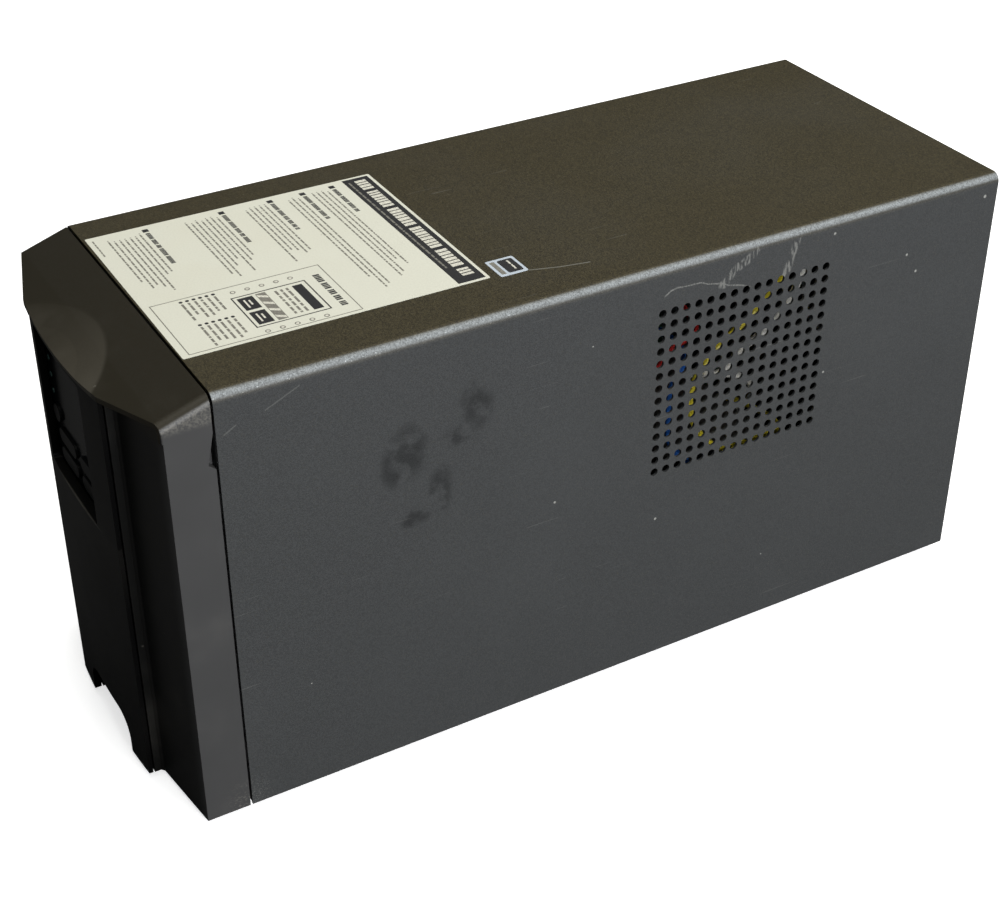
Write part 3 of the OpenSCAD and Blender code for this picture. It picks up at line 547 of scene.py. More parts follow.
@dataclass(frozen=True)
class BezelMoulding(Moulding):
    """The bezel's plastic, rubbed where the cover meets it, with painted highlights along its folds and on the
    scoop, and painted shade on its top and front.
    """

    seam: float = -182.5
    half_width: float = 85.5
    painted_top_shade_tone: Tone = (0.0185, 0.0150, 0.0070)
    painted_front_shade_tone: Tone = (0.005, 0.005, 0.0045)

    def with_painted_light(self, shop: Shop, tone: Wire) -> Wire:
        """The top painted browner and darker as painted shade, with a painted highlight on the scoop, and the
        front painted darker as painted shade.

        Args:
            shop: The material.
            tone: Colour so far.

        Returns:
            The new colour.
        """
        # painted shade: the top of the bezel is painted browner and darker
        cap = shop.z.ramp(197, 206) * (abs(shop.x) - self.half_width).ramp(-0.3, -1.2)
        # painted shade: the front faces are painted about ten times darker than the sides
        front = shop.y.ramp(self.seam - 21.2, self.seam - 22.6)
        grain = shop.noise(1.4, 2, seed=11.0)
        tone = shop.blend(tone, self.painted_front_shade_tone, front)
        # painted highlight: a lighter patch on the scoop, brightest towards its right tip
        reach = shop.x * shop.x + (shop.y + 256.0) * (shop.y + 256.0)
        scoop = reach.ramp(58.5 ** 2, 56.0 ** 2) * shop.x.ramp(-36, 46, 0.12, 1.0)
        brown = shop.blend(self.painted_top_shade_tone, (0.062, 0.055, 0.040), scoop)
        return shop.blend(tone, brown, cap * (grain * 0.3 + 0.8).least(1.0))

    def extra(self, shop: Shop, dust: Wire) -> Wire:
        """Adds rubbed corners, a painted highlight along the folds and small nicks.

        Args:
            shop: The material.
            dust: Share so far.

        Returns:
            The new share.
        """
        fine = shop.noise(1.1, 3, seed=6.0)
        corner = shop.z.ramp(24, 3) * shop.y.ramp(self.seam - 16, self.seam) * fine.ramp(0.5, 0.66)
        # painted highlight along the bezel's folds near the top
        edge = (abs(shop.x) - self.half_width).ramp(-1.1, -0.3) * shop.z.ramp(205, 209)
        nicks = shop.cells(0.06).ramp(0.05, 0.03) * fine.ramp(0.45, 0.55)
        return dust.top(corner * 0.35).top(edge * fine.ramp(0.3, 0.7) * 0.3).top(nicks * 0.3)


@dataclass(frozen=True)
class FasciaMoulding(Moulding):
    """The centre plate's plastic, with a painted sheen below the display and a painted highlight on the ledge
    under it.
    """

    def extra(self, shop: Shop, dust: Wire) -> Wire:
        """Adds the painted sheen below the display and the painted highlight on the ledge under it.

        Args:
            shop: The material.
            dust: Share so far.

        Returns:
            The new share.
        """
        # painted sheen on a band below the display, and a painted highlight on the ledge under it
        band = shop.z.ramp(92, 128) * shop.z.ramp(130.6, 129.8)
        ledge = shop.z.ramp(129.1, 129.7) * shop.z.ramp(130.6, 130.1) * shop.y.ramp(-216.9, -217.5)
        painted_sheen = band * shop.noise(0.08, 2, seed=3.0).ramp(0.2, 0.8, 0.6, 1.0)
        return dust.top(painted_sheen * 0.025).top(ledge * 0.3)


@dataclass(frozen=True)
class Sheet(Finish):
    """Plated or bare sheet metal with brushing, spangle and a little tarnish."""

    along: Grain = Grain.Z
    metal: float = 1.0
    tarnish: Tone = (0.16, 0.13, 0.09)
    tarnish_share: float = 0.12

    def coat(self, shop: Shop) -> None:
        """Fills the shader.

        Args:
            shop: The material to fill.
        """
        factors = [1.0, 1.0, 1.0]
        factors[self.along.value] = 0.03
        streak = shop.noise(3.0, 2, shop.stretched(factors))
        spangle = shop.grains(0.16)
        cloud = shop.noise(0.04, 4, seed=2.0)
        tone = shop.blend(scaled(self.tone, 0.78), scaled(self.tone, 1.12), streak * 0.6 + spangle * 0.4)
        spots = cloud.ramp(0.56, 0.76) * self.tarnish_share * 4
        tone = shop.blend(tone, self.tarnish, spots.least(0.8))
        shop.set(Base_Color=tone, Metallic=self.metal, Normal=shop.bump(streak, 0.015, 0.5),
                 Roughness=streak * 0.12 + spangle * 0.06 + (self.rough - 0.08) + spots * 0.2)


@dataclass(frozen=True)
class Rubber(Finish):
    """Matt rubber, dusty in patches."""

    def coat(self, shop: Shop) -> None:
        """Fills the shader.

        Args:
            shop: The material to fill.
        """
        fine = shop.noise(2.0, 3)
        cloud = shop.noise(0.12, 3, seed=5.0)
        tone = shop.blend(self.tone, srgb(92, 88, 82), cloud.ramp(0.5, 0.85) * 0.35 + fine * 0.04)
        shop.set(Base_Color=tone, Roughness=fine * 0.1 + self.rough, Normal=shop.bump(fine, 0.05, 0.5))


@dataclass(frozen=True)
class Screen(Finish):
    """Dark liquid-crystal glass with a faint grid and a soft cool glow of its layers."""

    line_mm: float = 1.3

    def coat(self, shop: Shop) -> None:
        """Fills the shader.

        Args:
            shop: The material to fill.
        """
        rows = abs(shop.node("ShaderNodeMath", {"operation": "SINE"}, {0: shop.z * (math.pi / self.line_mm)}))
        cloud = shop.noise(0.05, 3)
        tone = shop.blend(scaled(self.tone, 0.8), scaled(self.tone, 1.25), cloud * 0.7 + rows * 0.3)
        smear = shop.noise(0.2, 3, shop.stretched((1, 1, 0.3)), 3.0).ramp(0.55, 0.75)
        shop.set(Base_Color=tone, Roughness=smear * 0.2 + self.rough, Coat_Weight=0.3,
                 Normal=shop.bump(rows, 0.005, 0.2))


@dataclass(frozen=True)
class Board(Finish):
    """Circuit laminate with copper tracks under the lacquer."""

    track: Tone = srgb(64, 140, 74)

    def coat(self, shop: Shop) -> None:
        """Fills the shader.

        Args:
            shop: The material to fill.
        """
        coarse = shop.node(
            "ShaderNodeVectorMath", {"operation": "SNAP"}, {0: shop.place, 1: (2.2, 2.2, 2.2)})
        lanes = shop.grains(0.24, coarse)
        pads = shop.cells(0.4).ramp(0.2, 0.14)
        fine = shop.noise(1.5, 2)
        tone = shop.blend(self.tone, self.track, (lanes > 0.55) * 0.5 + fine * 0.1)
        tone = shop.blend(tone, srgb(196, 192, 180), pads * (shop.grains(0.4) > 0.72))
        shop.set(Base_Color=tone, Roughness=fine * 0.1 + self.rough, Normal=shop.bump(lanes, 0.03, 0.4))


@dataclass(frozen=True)
class Paper(Finish):
    """Printed sticker stock, a little yellowed, with faint creases and a worn rim."""

    soil: float = 0.2

    def coat(self, shop: Shop) -> None:
        """Fills the shader.

        Args:
            shop: The material to fill.
        """
        fibre = shop.noise(1.2, 4)
        cloud = shop.noise(0.03, 4, seed=7.0)
        tone = shop.blend(self.tone, scaled(self.tone, 0.86), fibre.ramp(0.4, 0.7) * 0.35)
        tone = shop.blend(tone, srgb(186, 172, 132), cloud.ramp(0.45, 0.8) * self.soil)
        spots = shop.cells(0.12).ramp(0.06, 0.03) * shop.grains(0.12).ramp(0.6, 0.7)
        tone = shop.blend(tone, srgb(104, 94, 76), spots * 0.5)
        wave = shop.noise(0.05, 2, seed=8.0)
        shop.set(Base_Color=tone, Roughness=fibre * 0.1 + self.rough,
                 Normal=shop.bump(wave * 4 + fibre * 0.2, 0.08, 0.5))


@dataclass(frozen=True)
class Ink(Finish):
    """Printing ink with uneven cover."""

    def coat(self, shop: Shop) -> None:
        """Fills the shader.

        Args:
            shop: The material to fill.
        """
        fibre = shop.noise(1.6, 3)
        tone = shop.blend(self.tone, scaled(self.tone, 1.6), fibre.ramp(0.4, 0.75))
        shop.set(Base_Color=tone, Roughness=fibre * 0.15 + self.rough, Normal=shop.bump(fibre, 0.01, 0.3))


@dataclass(frozen=True)
class Webbing(Finish):
    """Woven tape."""

    pitch_mm: float = 1.1

    def coat(self, shop: Shop) -> None:
        """Fills the shader.

        Args:
            shop: The material to fill.
        """
        turn = math.pi / self.pitch_mm
        across = shop.node("ShaderNodeMath", {"operation": "SINE"}, {0: (shop.x + shop.z) * turn})
        along = shop.node("ShaderNodeMath", {"operation": "SINE"}, {0: (shop.x - shop.z + shop.y) * turn})
        weave = across * along
        fuzz = shop.noise(2.0, 3)
        tone = shop.blend(scaled(self.tone, 0.6), scaled(self.tone, 1.7), weave.ramp(-1, 1) * 0.7 + fuzz * 0.3)
        shop.set(Base_Color=tone, Roughness=fuzz * 0.1 + self.rough, Sheen_Weight=0.3,
                 Normal=shop.bump(weave + fuzz * 0.5, 0.12, 0.6))


@dataclass(frozen=True)
class Winding(Finish):
    """Lacquered copper turns."""

    turn_mm: float = 1.0

    def coat(self, shop: Shop) -> None:
        """Fills the shader.

        Args:
            shop: The material to fill.
        """
        turns = shop.node("ShaderNodeMath", {"operation": "SINE"}, {0: shop.z * (2 * math.pi / self.turn_mm)})
        cloud = shop.noise(0.1, 3)
        tone = shop.blend(scaled(self.tone, 0.45), self.tone, turns.ramp(-0.8, 0.6))
        tone = shop.blend(tone, srgb(70, 34, 14), cloud.ramp(0.5, 0.8) * 0.5)
        shop.set(Base_Color=tone, Metallic=0.75, Roughness=cloud * 0.15 + self.rough, Coat_Weight=0.4,
                 Normal=shop.bump(turns, 0.2, 0.7))


# ---------------------------------------------------------------- the finishes of this part

STEEL = srgb(176, 178, 180)
COVER = PowderCoat("cover_paint", (0.045, 0.047, 0.0475), 0.46)
BEZEL = BezelMoulding("bezel_plastic", (0.052, 0.052, 0.052), 0.42, 2.2, 0.02, 0.06, 0.35, 0.0, 0.35)
FASCIA = FasciaMoulding("fascia_plastic", (0.002, 0.002, 0.002), 0.38, 2.6, 0.012, 0.01, 0.25, 0.0, 0.16)
SLOTS: dict[str, Finish] = {
    "cover_paint": COVER,
    "panel_paint": PowderCoat("panel_paint", srgb(50, 51, 54), 0.5, worn=False),
    "chassis_steel": Sheet("chassis_steel", STEEL, 0.42, Grain.Y),
    "screw_steel": Sheet("screw_steel", srgb(205, 205, 204), 0.3, Grain.Z, tarnish_share=0.06),
    "foot_rubber": Rubber("foot_rubber", srgb(26, 26, 26), 0.82),
    "bezel_plastic": BEZEL,
    "fascia_plastic": FASCIA,
    "lens_plastic": Moulding("lens_plastic", srgb(5, 9, 12), 0.2, 3.0, 0.006, 0.006, 0.15, 0.0, 0.14),
    "screen_glass": Screen("screen_glass", srgb(22, 32, 42), 0.25),
    "board_laminate": Board("board_laminate", srgb(28, 92, 44), 0.4),
    "light_pipe": Moulding("light_pipe", srgb(92, 122, 116), 0.18, 1.0, 0.005, 0.02, 0.1, 0.4),
    "key_rubber": Moulding("key_rubber", srgb(12, 13, 14), 0.44, 2.0, 0.02, 0.03, 0.3, 0.0, 0.3),
    "connector_plastic": Moulding("connector_plastic", srgb(176, 175, 170), 0.5, 1.2, 0.02, 0.2, 0.2),
    "battery_plastic": Moulding("battery_plastic", srgb(40, 41, 43), 0.5, 1.5, 0.03, 0.05, 0.3),
    "battery_lead_metal": Sheet("battery_lead_metal", srgb(112, 115, 120), 0.6, Grain.Z),
    "contact_brass": Sheet("contact_brass", srgb(214, 178, 102), 0.3, Grain.Y, tarnish=srgb(110, 80, 40)),
    "strap_fabric": Webbing("strap_fabric", srgb(34, 34, 36), 0.85),
    "lamination_steel": Sheet("lamination_steel", srgb(96, 92, 86), 0.5, Grain.Y, 0.8, srgb(96, 58, 32), 0.3),
    "winding_copper": Winding("winding_copper", srgb(190, 104, 50), 0.32),
    "heatsink_alloy": Sheet("heatsink_alloy", srgb(206, 208, 210), 0.36, Grain.Z, tarnish_share=0.05),
    "component_black": Moulding("component_black", srgb(30, 30, 31), 0.45, 2.0, 0.02, 0.15, 0.2),
    "capacitor_sleeve": Moulding("capacitor_sleeve", srgb(28, 42, 84), 0.3, 0.8, 0.01, 0.08, 0.2, 0.3),
    "socket_plastic": Moulding("socket_plastic", srgb(27, 27, 28), 0.46, 2.0, 0.02, 0.12, 0.3),
    "port_shell": Sheet("port_shell", srgb(212, 212, 210), 0.26, Grain.X, tarnish_share=0.04),
    "wire_yellow_pvc": Moulding("wire_yellow_pvc", srgb(246, 226, 60), 0.34, 1.0, 0.01, 0.12),
    "wire_white_pvc": Moulding("wire_white_pvc", srgb(250, 248, 240), 0.36, 1.0, 0.01, 0.15),
    "wire_blue_pvc": Moulding("wire_blue_pvc", srgb(38, 92, 170), 0.34, 1.0, 0.01, 0.12),
    "wire_red_pvc": Moulding("wire_red_pvc", srgb(186, 44, 40), 0.34, 1.0, 0.01, 0.12),
    "label_paper": Paper("label_paper", srgb(214, 214, 200), 0.62, 0.08),
    "badge_paper": Paper("badge_paper", srgb(188, 198, 208), 0.5, 0.06),
}
BLACK_INK = Ink("black_ink", srgb(30, 30, 32), 0.5)
GREY_INK = Ink("grey_ink", srgb(112, 110, 102), 0.55)
PALE_INK = Ink("pale_ink", srgb(196, 194, 182), 0.55)


# ---------------------------------------------------------------- mesh making


class Tint(Enum):
    """Inks of a printed sheet, in the order of its material slots."""

    BLACK = 0
    GREY = 1
    PALE = 2


@dataclass
class Print:
    """Flat printed shapes laid on a face as thin closed slabs."""

    name: str
    origin: Vector
    right: Vector
    up: Vector
    lift: float = 0.03
    thick: float = 0.04
    mesh: bmesh.types.BMesh = field(default_factory=bmesh.new)

    def slab(self, outline: Sequence[Spot], ink: Tint, raised: float = 0.0) -> None:
        """Adds one closed slab.

        Args:
            outline: Corners on the face, anticlockwise.
            ink: Its ink.
            raised: Extra height over the face.
        """
        out = self.right.cross(self.up)
        rings = []
        for height in (self.lift + raised, self.lift + self.thick + raised):
            rings.append([
                self.mesh.verts.new((self.origin + self.right * p + self.up * q + out * height) * MM)
                for p, q in outline])
        low, high = rings
        faces = [high, low[::-1]]
        count = len(outline)
        faces += [[low[i], low[(i + 1) % count], high[(i + 1) % count], high[i]] for i in range(count)]
        for corners in faces:
            self.mesh.faces.new(corners).material_index = ink.value

    def bar(self, low: Spot, high: Spot, ink: Tint, raised: float = 0.0) -> None:
        """Adds a rectangle between two corners."""
        self.slab(((low[0], low[1]), (high[0], low[1]), (high[0], high[1]), (low[0], high[1])), ink, raised)

    def dot(self, centre: Spot, radius: float, ink: Tint, raised: float = 0.0) -> None:
        """Adds a disc."""
        turns = [math.tau * i / 20 for i in range(20)]
        self.slab([(centre[0] + radius * math.cos(t), centre[1] + radius * math.sin(t)) for t in turns],
                  ink, raised)

    def frame(self, low: Spot, high: Spot, width: float, ink: Tint) -> None:
        """Adds a thin rectangular outline.

        Args:
            low: Lower left corner.
            high: Upper right corner.
            width: Width of the line.
            ink: Its ink.
        """
        self.bar(low, (high[0], low[1] + width), ink)
        self.bar((low[0], high[1] - width), high, ink)
        self.bar((low[0], low[1] + width), (low[0] + width, high[1] - width), ink)
        self.bar((high[0] - width, low[1] + width), (high[0], high[1] - width), ink)

    def words(self, start: Spot, end: float, height: float, ink: Tint, chance: random.Random,
              raised: float = 0.0) -> None:
        """Adds a row of short bars, like a line of greeked text.

        Args:
            start: Lower left corner of the row.
            end: Where the row ends.
            height: Height of the bars.
            ink: Their ink.
            chance: Seeded source of the lengths.
            raised: Extra height over the face.
        """
        p = start[0]
        while p < end - height:
            length = min(height * chance.uniform(1.2, 5.5), end - p)
            self.bar((p, start[1]), (p + length, start[1] + height), ink, raised)
            p += length + height * chance.uniform(0.5, 0.9)

    def blocks(self, start: Spot, end: float, height: float, ink: Tint, chance: random.Random,
               raised: float = 0.0) -> None:
        """Adds a row of narrow upright blocks in groups, like a greeked heading.

        Args:
            start: Lower left corner of the row.
            end: Where the row ends.
            height: Height of the blocks.
            ink: Their ink.
            chance: Seeded source of the widths.
            raised: Extra height over the face.
        """
        p = start[0]
        while p < end - height:
            for _ in range(chance.randint(3, 8)):
                wide = height * chance.uniform(0.28, 0.46)
                if p + wide < end:
                    self.bar((p, start[1]), (p + wide, start[1] + height), ink, raised)
                    p += wide + height * 0.13
            p += height * 0.36

    def lay(self, body: Body, finishes: Iterable[Finish]) -> bpy.types.Object:
        """Makes the object.

        Args:
            body: Body that it rides on.
            finishes: Finishes in the order of the inks.

        Returns:
            The finished piece.
        """
        return place(self.name, self.mesh, body, finishes)


def place(name: str, mesh: bmesh.types.BMesh, body: Body,
          finishes: Iterable[Finish]) -> bpy.types.Object:
    """Turns a mesh into a piece of the object.

    Args:
        name: Name of the piece.
        mesh: Its mesh, freed afterwards.
        body: Body that it rides on.
        finishes: Finishes in the order of the material indices.

    Returns:
        The finished piece.
    """
    bmesh.ops.recalc_face_normals(mesh, faces=mesh.faces)
    data = bpy.data.meshes.new(name)
    mesh.to_mesh(data)
    mesh.free()
    for finish in finishes:
        data.materials.append(finish.material())
    made = bpy.data.objects.new(name, data)
    bpy.context.scene.collection.objects.link(made)
    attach(made, body.value)
    log.info("%s: %d faces", name, len(data.polygons))
    return made


def rounded(low: Spot, high: Spot, radius: float, steps: int = 5) -> list[Spot]:
    """Outline of a rectangle with round corners, anticlockwise.

    Args:
        low: Lower left corner.
        high: Upper right corner.
        radius: Radius of the corners.
        steps: Segments of a corner.

    Returns:
        The points.
    """
    made = []
    centres = ((high[0] - radius, high[1] - radius), (low[0] + radius, high[1] - radius),
               (low[0] + radius, low[1] + radius), (high[0] - radius, low[1] + radius))
    for quarter, (p, q) in enumerate(centres):
        for i in range(steps + 1):
            turn = math.pi / 2 * (quarter + i / steps)
            made.append((p + radius * math.cos(turn), q + radius * math.sin(turn)))
    return made


# ---------------------------------------------------------------- sub-assemblies


@dataclass
class SubAssembly:
    """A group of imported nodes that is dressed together, with the pieces added to it."""

    nodes: tuple[str, ...] = ()

    def build(self) -> None:
        """Dresses the nodes, then adds the pieces."""
        slots = {part["node"]: part["material_slot"] for part in frame["record"]["subparts"]}
        for node in self.nodes:
            self.dress(frame["nodes"][node], SLOTS[slots[node]])
        self.add_pieces()
        log.info("%s: %d nodes dressed", type(self).__name__, len(self.nodes))

    def dress(self, obj: bpy.types.Object, finish: Finish) -> None:
        """Gives a node its finish.

        Args:
            obj: The node's object.
            finish: Its finish.
        """
        if not obj.material_slots:
            obj.data.materials.append(finish.material())
        for slot in obj.material_slots:
            slot.material = finish.material()

    def add_pieces(self) -> None:
        """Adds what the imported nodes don't have; most groups add nothing."""


@dataclass
class TopLabel(SubAssembly):
    """The instruction sticker, with greeked print instead of words."""

    centre: Spot = (-4.5, -111.6)
    size: Spot = (119.5, 140.0)
    turn: float = -0.4
    top: float = 219.0
    paper_t: float = 0.12
    header_h: float = 13.2

    def add_pieces(self) -> None:
        """Builds the paper and its print."""
        a = math.radians(self.turn)
        right, up = Vector((math.cos(a), math.sin(a), 0)), Vector((-math.sin(a), math.cos(a), 0))
        corner = Vector((*self.centre, self.top)) - right * self.size[0] / 2 - up * self.size[1] / 2
        paper = Print("label_sheet", corner, right, up, 0.0, self.paper_t)
        paper.slab(rounded((0, 0), self.size, 0.7), Tint.BLACK)
        sheet = paper.lay(Body.CHASSIS, [SLOTS["label_paper"]])
        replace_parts(sheet, "top_label")
        ink = Print("label_print", corner, right, up, self.paper_t, 0.03)
        self.header(ink)
        self.sections(ink)
        self.diagram(ink)
        ink.lay(Body.CHASSIS, [BLACK_INK, GREY_INK, PALE_INK])

    def header(self, ink: Print) -> None:
        """Prints the dark bar along the rear edge.

        Args:
            ink: The print.
        """
        w, h = self.size
        chance = random.Random(3)
        ink.bar((1.5, h - 1.5 - self.header_h), (w - 1.5, h - 1.5), Tint.BLACK)
        ink.blocks((4.5, h - 9.6), w - 5, 5.6, Tint.PALE, chance, 0.02)
        ink.words((5, h - 12.9), w * 0.86, 0.9, Tint.GREY, chance, 0.02)

    def sections(self, ink: Print) -> None:
        """Prints five headed blocks of text.

        Args:
            ink: The print.
        """
        chance = random.Random(11)
        w, h = self.size
        blocks = ((19.6, 4, 0.93), (34.6, 3, 0.93), (51.0, 5, 0.62), (75.0, 7, 0.56), (111.5, 7, 0.54))
        for down, rows, share in blocks:
            q = h - down - 3.2
            ink.bar((3.5, q), (6.3, q + 2.8), Tint.BLACK)
            ink.blocks((7.6, q + 0.3), 7.6 + chance.uniform(24, 34), 2.1, Tint.BLACK, chance)
            for row in range(rows):
                q -= 2.45
                indent = 7.6 if chance.random() < 0.6 else 9.4
                ink.dot((indent - 1.1, q + 0.45), 0.35, Tint.GREY)
                ink.words((indent, q), w * share * chance.uniform(0.72, 1.0), 0.78, Tint.GREY, chance)
        ink.words((3.5, 2.2), 20, 0.7, Tint.GREY, chance)

    def diagram(self, ink: Print) -> None:
        """Prints the framed drawing of the front panel.

        Args:
            ink: The print.
        """
        chance = random.Random(23)
        w, h = self.size
        low, high = (w * 0.605, 3.2), (w - 1.8, h - 59.5)
        ink.frame(low, high, 0.45, Tint.GREY)
        ink.blocks((low[0] + 8, high[1] - 6.5), high[0] - 5, 3.0, Tint.BLACK, chance)
        left, right, base, cap = low[0] + 10, high[0] - 7, high[1] - 45, high[1] - 11
        ink.frame((left, base), (right, cap), 0.6, Tint.BLACK)
        ink.bar((left + 2.5, cap - 7), (right - 2.5, cap - 2.5), Tint.BLACK)
        for row in range(3):
            ink.words((left + 3, cap - 10.2 - row * 2.6), right - 3, 1.1, Tint.GREY, chance)
        middle = base + 13
        ink.bar((left + 1.6, middle - 2.5), (right - 1.6, middle + 2), Tint.GREY)
        for i in range(4):
            p = left + 2.5 + i * (right - left - 9) / 3
            ink.slab(((p, middle - 2.2), (p + 2, middle - 2.2), (p + 4.5, middle + 1.7), (p + 2.5, middle + 1.7)),
                     Tint.PALE, 0.02)
        half = (left + right) / 2
        for a, b in ((left + 2, half - 1), (half + 1, right - 2)):
            ink.bar((a, base + 2), (b, base + 9), Tint.BLACK)
            ink.bar((a + 2, base + 4), (b - 2, base + 4.8), Tint.PALE, 0.02)
            ink.bar((a + 3, base + 6), (b - 4, base + 6.8), Tint.PALE, 0.02)
        for i in range(5):
            q = base + 3 + i * 6.6
            ink.dot((left - 4.5, q), 1.25, Tint.GREY)
            ink.dot((left - 4.5, q), 0.75, Tint.PALE, 0.02)
            ink.dot((right + 4.5, q), 1.25, Tint.GREY)
            ink.dot((right + 4.5, q), 0.75, Tint.PALE, 0.02)
        for column in range(2):
            start = low[0] + 3 + column * (high[0] - low[0]) * 0.48
            for row in range(6):
                q = base - 5.5 - row * 2.9
                if q > low[1] + 1:
                    ink.dot((start, q + 0.6), 0.85, Tint.BLACK)
                    ink.words((start + 1.8, q), start + chance.uniform(14, 19), 1.05, Tint.GREY, chance)


@dataclass
class Badge(SubAssembly):
    """The small square sticker beside the label, plain."""

    centre: Spot = (50.2, -31.0)
    size: Spot = (15.2, 13.6)
    turn: float = -0.4
    top: float = 219.0

    def add_pieces(self) -> None:
        """Builds the paper and the plain dark block on it."""
        a = math.radians(self.turn)
        right, up = Vector((math.cos(a), math.sin(a), 0)), Vector((-math.sin(a), math.cos(a), 0))
        corner = Vector((*self.centre, self.top)) - right * self.size[0] / 2 - up * self.size[1] / 2
        paper = Print("badge_sheet", corner, right, up, 0.0, 0.12)
        paper.slab(rounded((0, 0), self.size, 0.8), Tint.BLACK)
        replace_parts(paper.lay(Body.CHASSIS, [SLOTS["badge_paper"]]), "badge_label")
        ink = Print("badge_print", corner, right, up, 0.12, 0.03)
        w, h = self.size
        ink.slab(rounded((1.6, h * 0.36), (w - 1.6, h - 1.3), 1.0), Tint.BLACK)
        ink.words((3.0, h * 0.66), w - 3, 0.9, Tint.PALE, random.Random(5), 0.02)
        ink.bar((1.6, 1.4), (w - 1.6, h * 0.27), Tint.GREY)
        ink.lay(Body.CHASSIS, [BLACK_INK, GREY_INK, PALE_INK])


@dataclass
class Rear(SubAssembly):
    """The rear panel with its outlets, ports and inlet, and the screen print round them."""

    line: float = 0.5

    def add_pieces(self) -> None:
        """Prints plain outlines round the outlets and short bars beside the ports."""
        panel = 216.3
        ink = Print("rear_print", Vector((0, panel, 0)), Vector((-1, 0, 0)), Vector((0, 0, 1)), 0.02, 0.03)
        chance = random.Random(31)
        for node in ("outlet_bank_upper", "outlet_bank_lower"):
            low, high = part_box(node)
            left, right = -high.x / MM - 1.6, -low.x / MM + 1.6
            ink.frame((left, low.z / MM - 1.6), (right, high.z / MM + 1.6), self.line, Tint.PALE)
        for node in ("usb_port", "network_port", "power_inlet", "breaker_body"):
            low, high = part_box(node)
            middle = -(low.x + high.x) / 2 / MM
            ink.words((middle - 7, high.z / MM + 2.2), middle + 7, 1.1, Tint.PALE, chance)
        ink.lay(Body.CHASSIS, [BLACK_INK, GREY_INK, PALE_INK])


@dataclass
class BatteryPack(SubAssembly):
    """The two sealed batteries on their tray, each with a plain sticker."""

    sticker: Spot = (90.0, 46.0)

    def add_pieces(self) -> None:
        """Adds a greeked sticker on top of each battery."""
        for number, node in enumerate(("battery_case_left", "battery_case_right")):
            low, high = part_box(node)
            middle = (low + high) / 2 / MM
            long, wide = self.sticker
            corner = Vector((middle.x + wide / 2, middle.y - long / 2, high.z / MM - 0.5))
            log.info("battery top %.1f", high.z / MM)
            if self.flat_top(frame["nodes"][node], high.z):
                corner.z = high.z / MM
                self.sheet(number, corner, long, wide)

    def flat_top(self, obj: bpy.types.Object, level: float) -> bool:
        """Says whether the middle of the top of a case lies at one level.

        Args:
            obj: The case.
            level: Height of its box's top.

        Returns:
            True if the middle of the top is at that height.
        """
        low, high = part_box(obj.name)
        hit, place_hit, _, _ = obj.ray_cast(Vector(((low.x + high.x) / 2, (low.y + high.y) / 2, level + 0.05)),
                                            Vector((0, 0, -1)))
        return bool(hit) and abs(place_hit.z - level) < 0.0002

    def sheet(self, number: int, corner: Vector, long: float, wide: float) -> None:
        """Builds one sticker.

        Args:
            number: Which battery.
            corner: Its corner in millimetres.
            long: Length along Y.
            wide: Width along X.
        """
        right, up = Vector((0, 1, 0)), Vector((-1, 0, 0))
        paper = Print(f"battery_sticker_{number}", corner, right, up, 0.0, 0.1)
        paper.slab(rounded((0, 0), (long, wide), 2.0), Tint.BLACK)
        paper.lay(Body.BATTERY, [SLOTS["label_paper"]])
        ink = Print(f"battery_print_{number}", corner, right, up, 0.1, 0.03)
        chance = random.Random(41 + number)
        ink.bar((2, wide - 11), (long - 2, wide - 2), Tint.BLACK)
        for row in range(9):
            ink.words((4, wide - 15.5 - row * 3.2), long * chance.uniform(0.5, 0.92), 1.3, Tint.GREY, chance)
        ink.lay(Body.BATTERY, [BLACK_INK, GREY_INK, PALE_INK])


@dataclass
class Wiring(SubAssembly):
    """The four loose wires behind the vent, with a cable tie."""

    tie_r: float = 4.6
    tie_w: float = 2.4
    spots: tuple[tuple[float, float, float], ...] = ((70.0, 118.0, 93.0),)

    def add_pieces(self) -> None:
        """Adds a tie at each of the given spots."""
        mesh = bmesh.new()
        for centre in self.spots:
            self.ring(mesh, Vector(centre))
        place("cable_ties", mesh, Body.CHASSIS, [SLOTS["component_black"]])

    def ring(self, mesh: bmesh.types.BMesh, centre: Vector) -> None:
        """Adds one band with its locking head.

        Args:
            mesh: Mesh to add to.
            centre: Middle of the band in millimetres.
        """
        count = 28
        loops = []
        for i in range(count):
            turn = math.tau * i / count
            out = Vector((math.cos(turn), 0, math.sin(turn)))
            thick = 1.1 if i > 1 else 3.2
            loops.append([mesh.verts.new((centre + out * (self.tie_r + d) + Vector((0, w, 0))) * MM)
                          for d, w in ((0, -self.tie_w / 2), (thick, -self.tie_w / 2),
                                       (thick, self.tie_w / 2), (0, self.tie_w / 2))])
        for i, here in enumerate(loops):
            there = loops[(i + 1) % count]
            for k in range(4):
                mesh.faces.new((here[k], there[k], there[(k + 1) % 4], here[(k + 1) % 4]))


# ---------------------------------------------------------------- studio


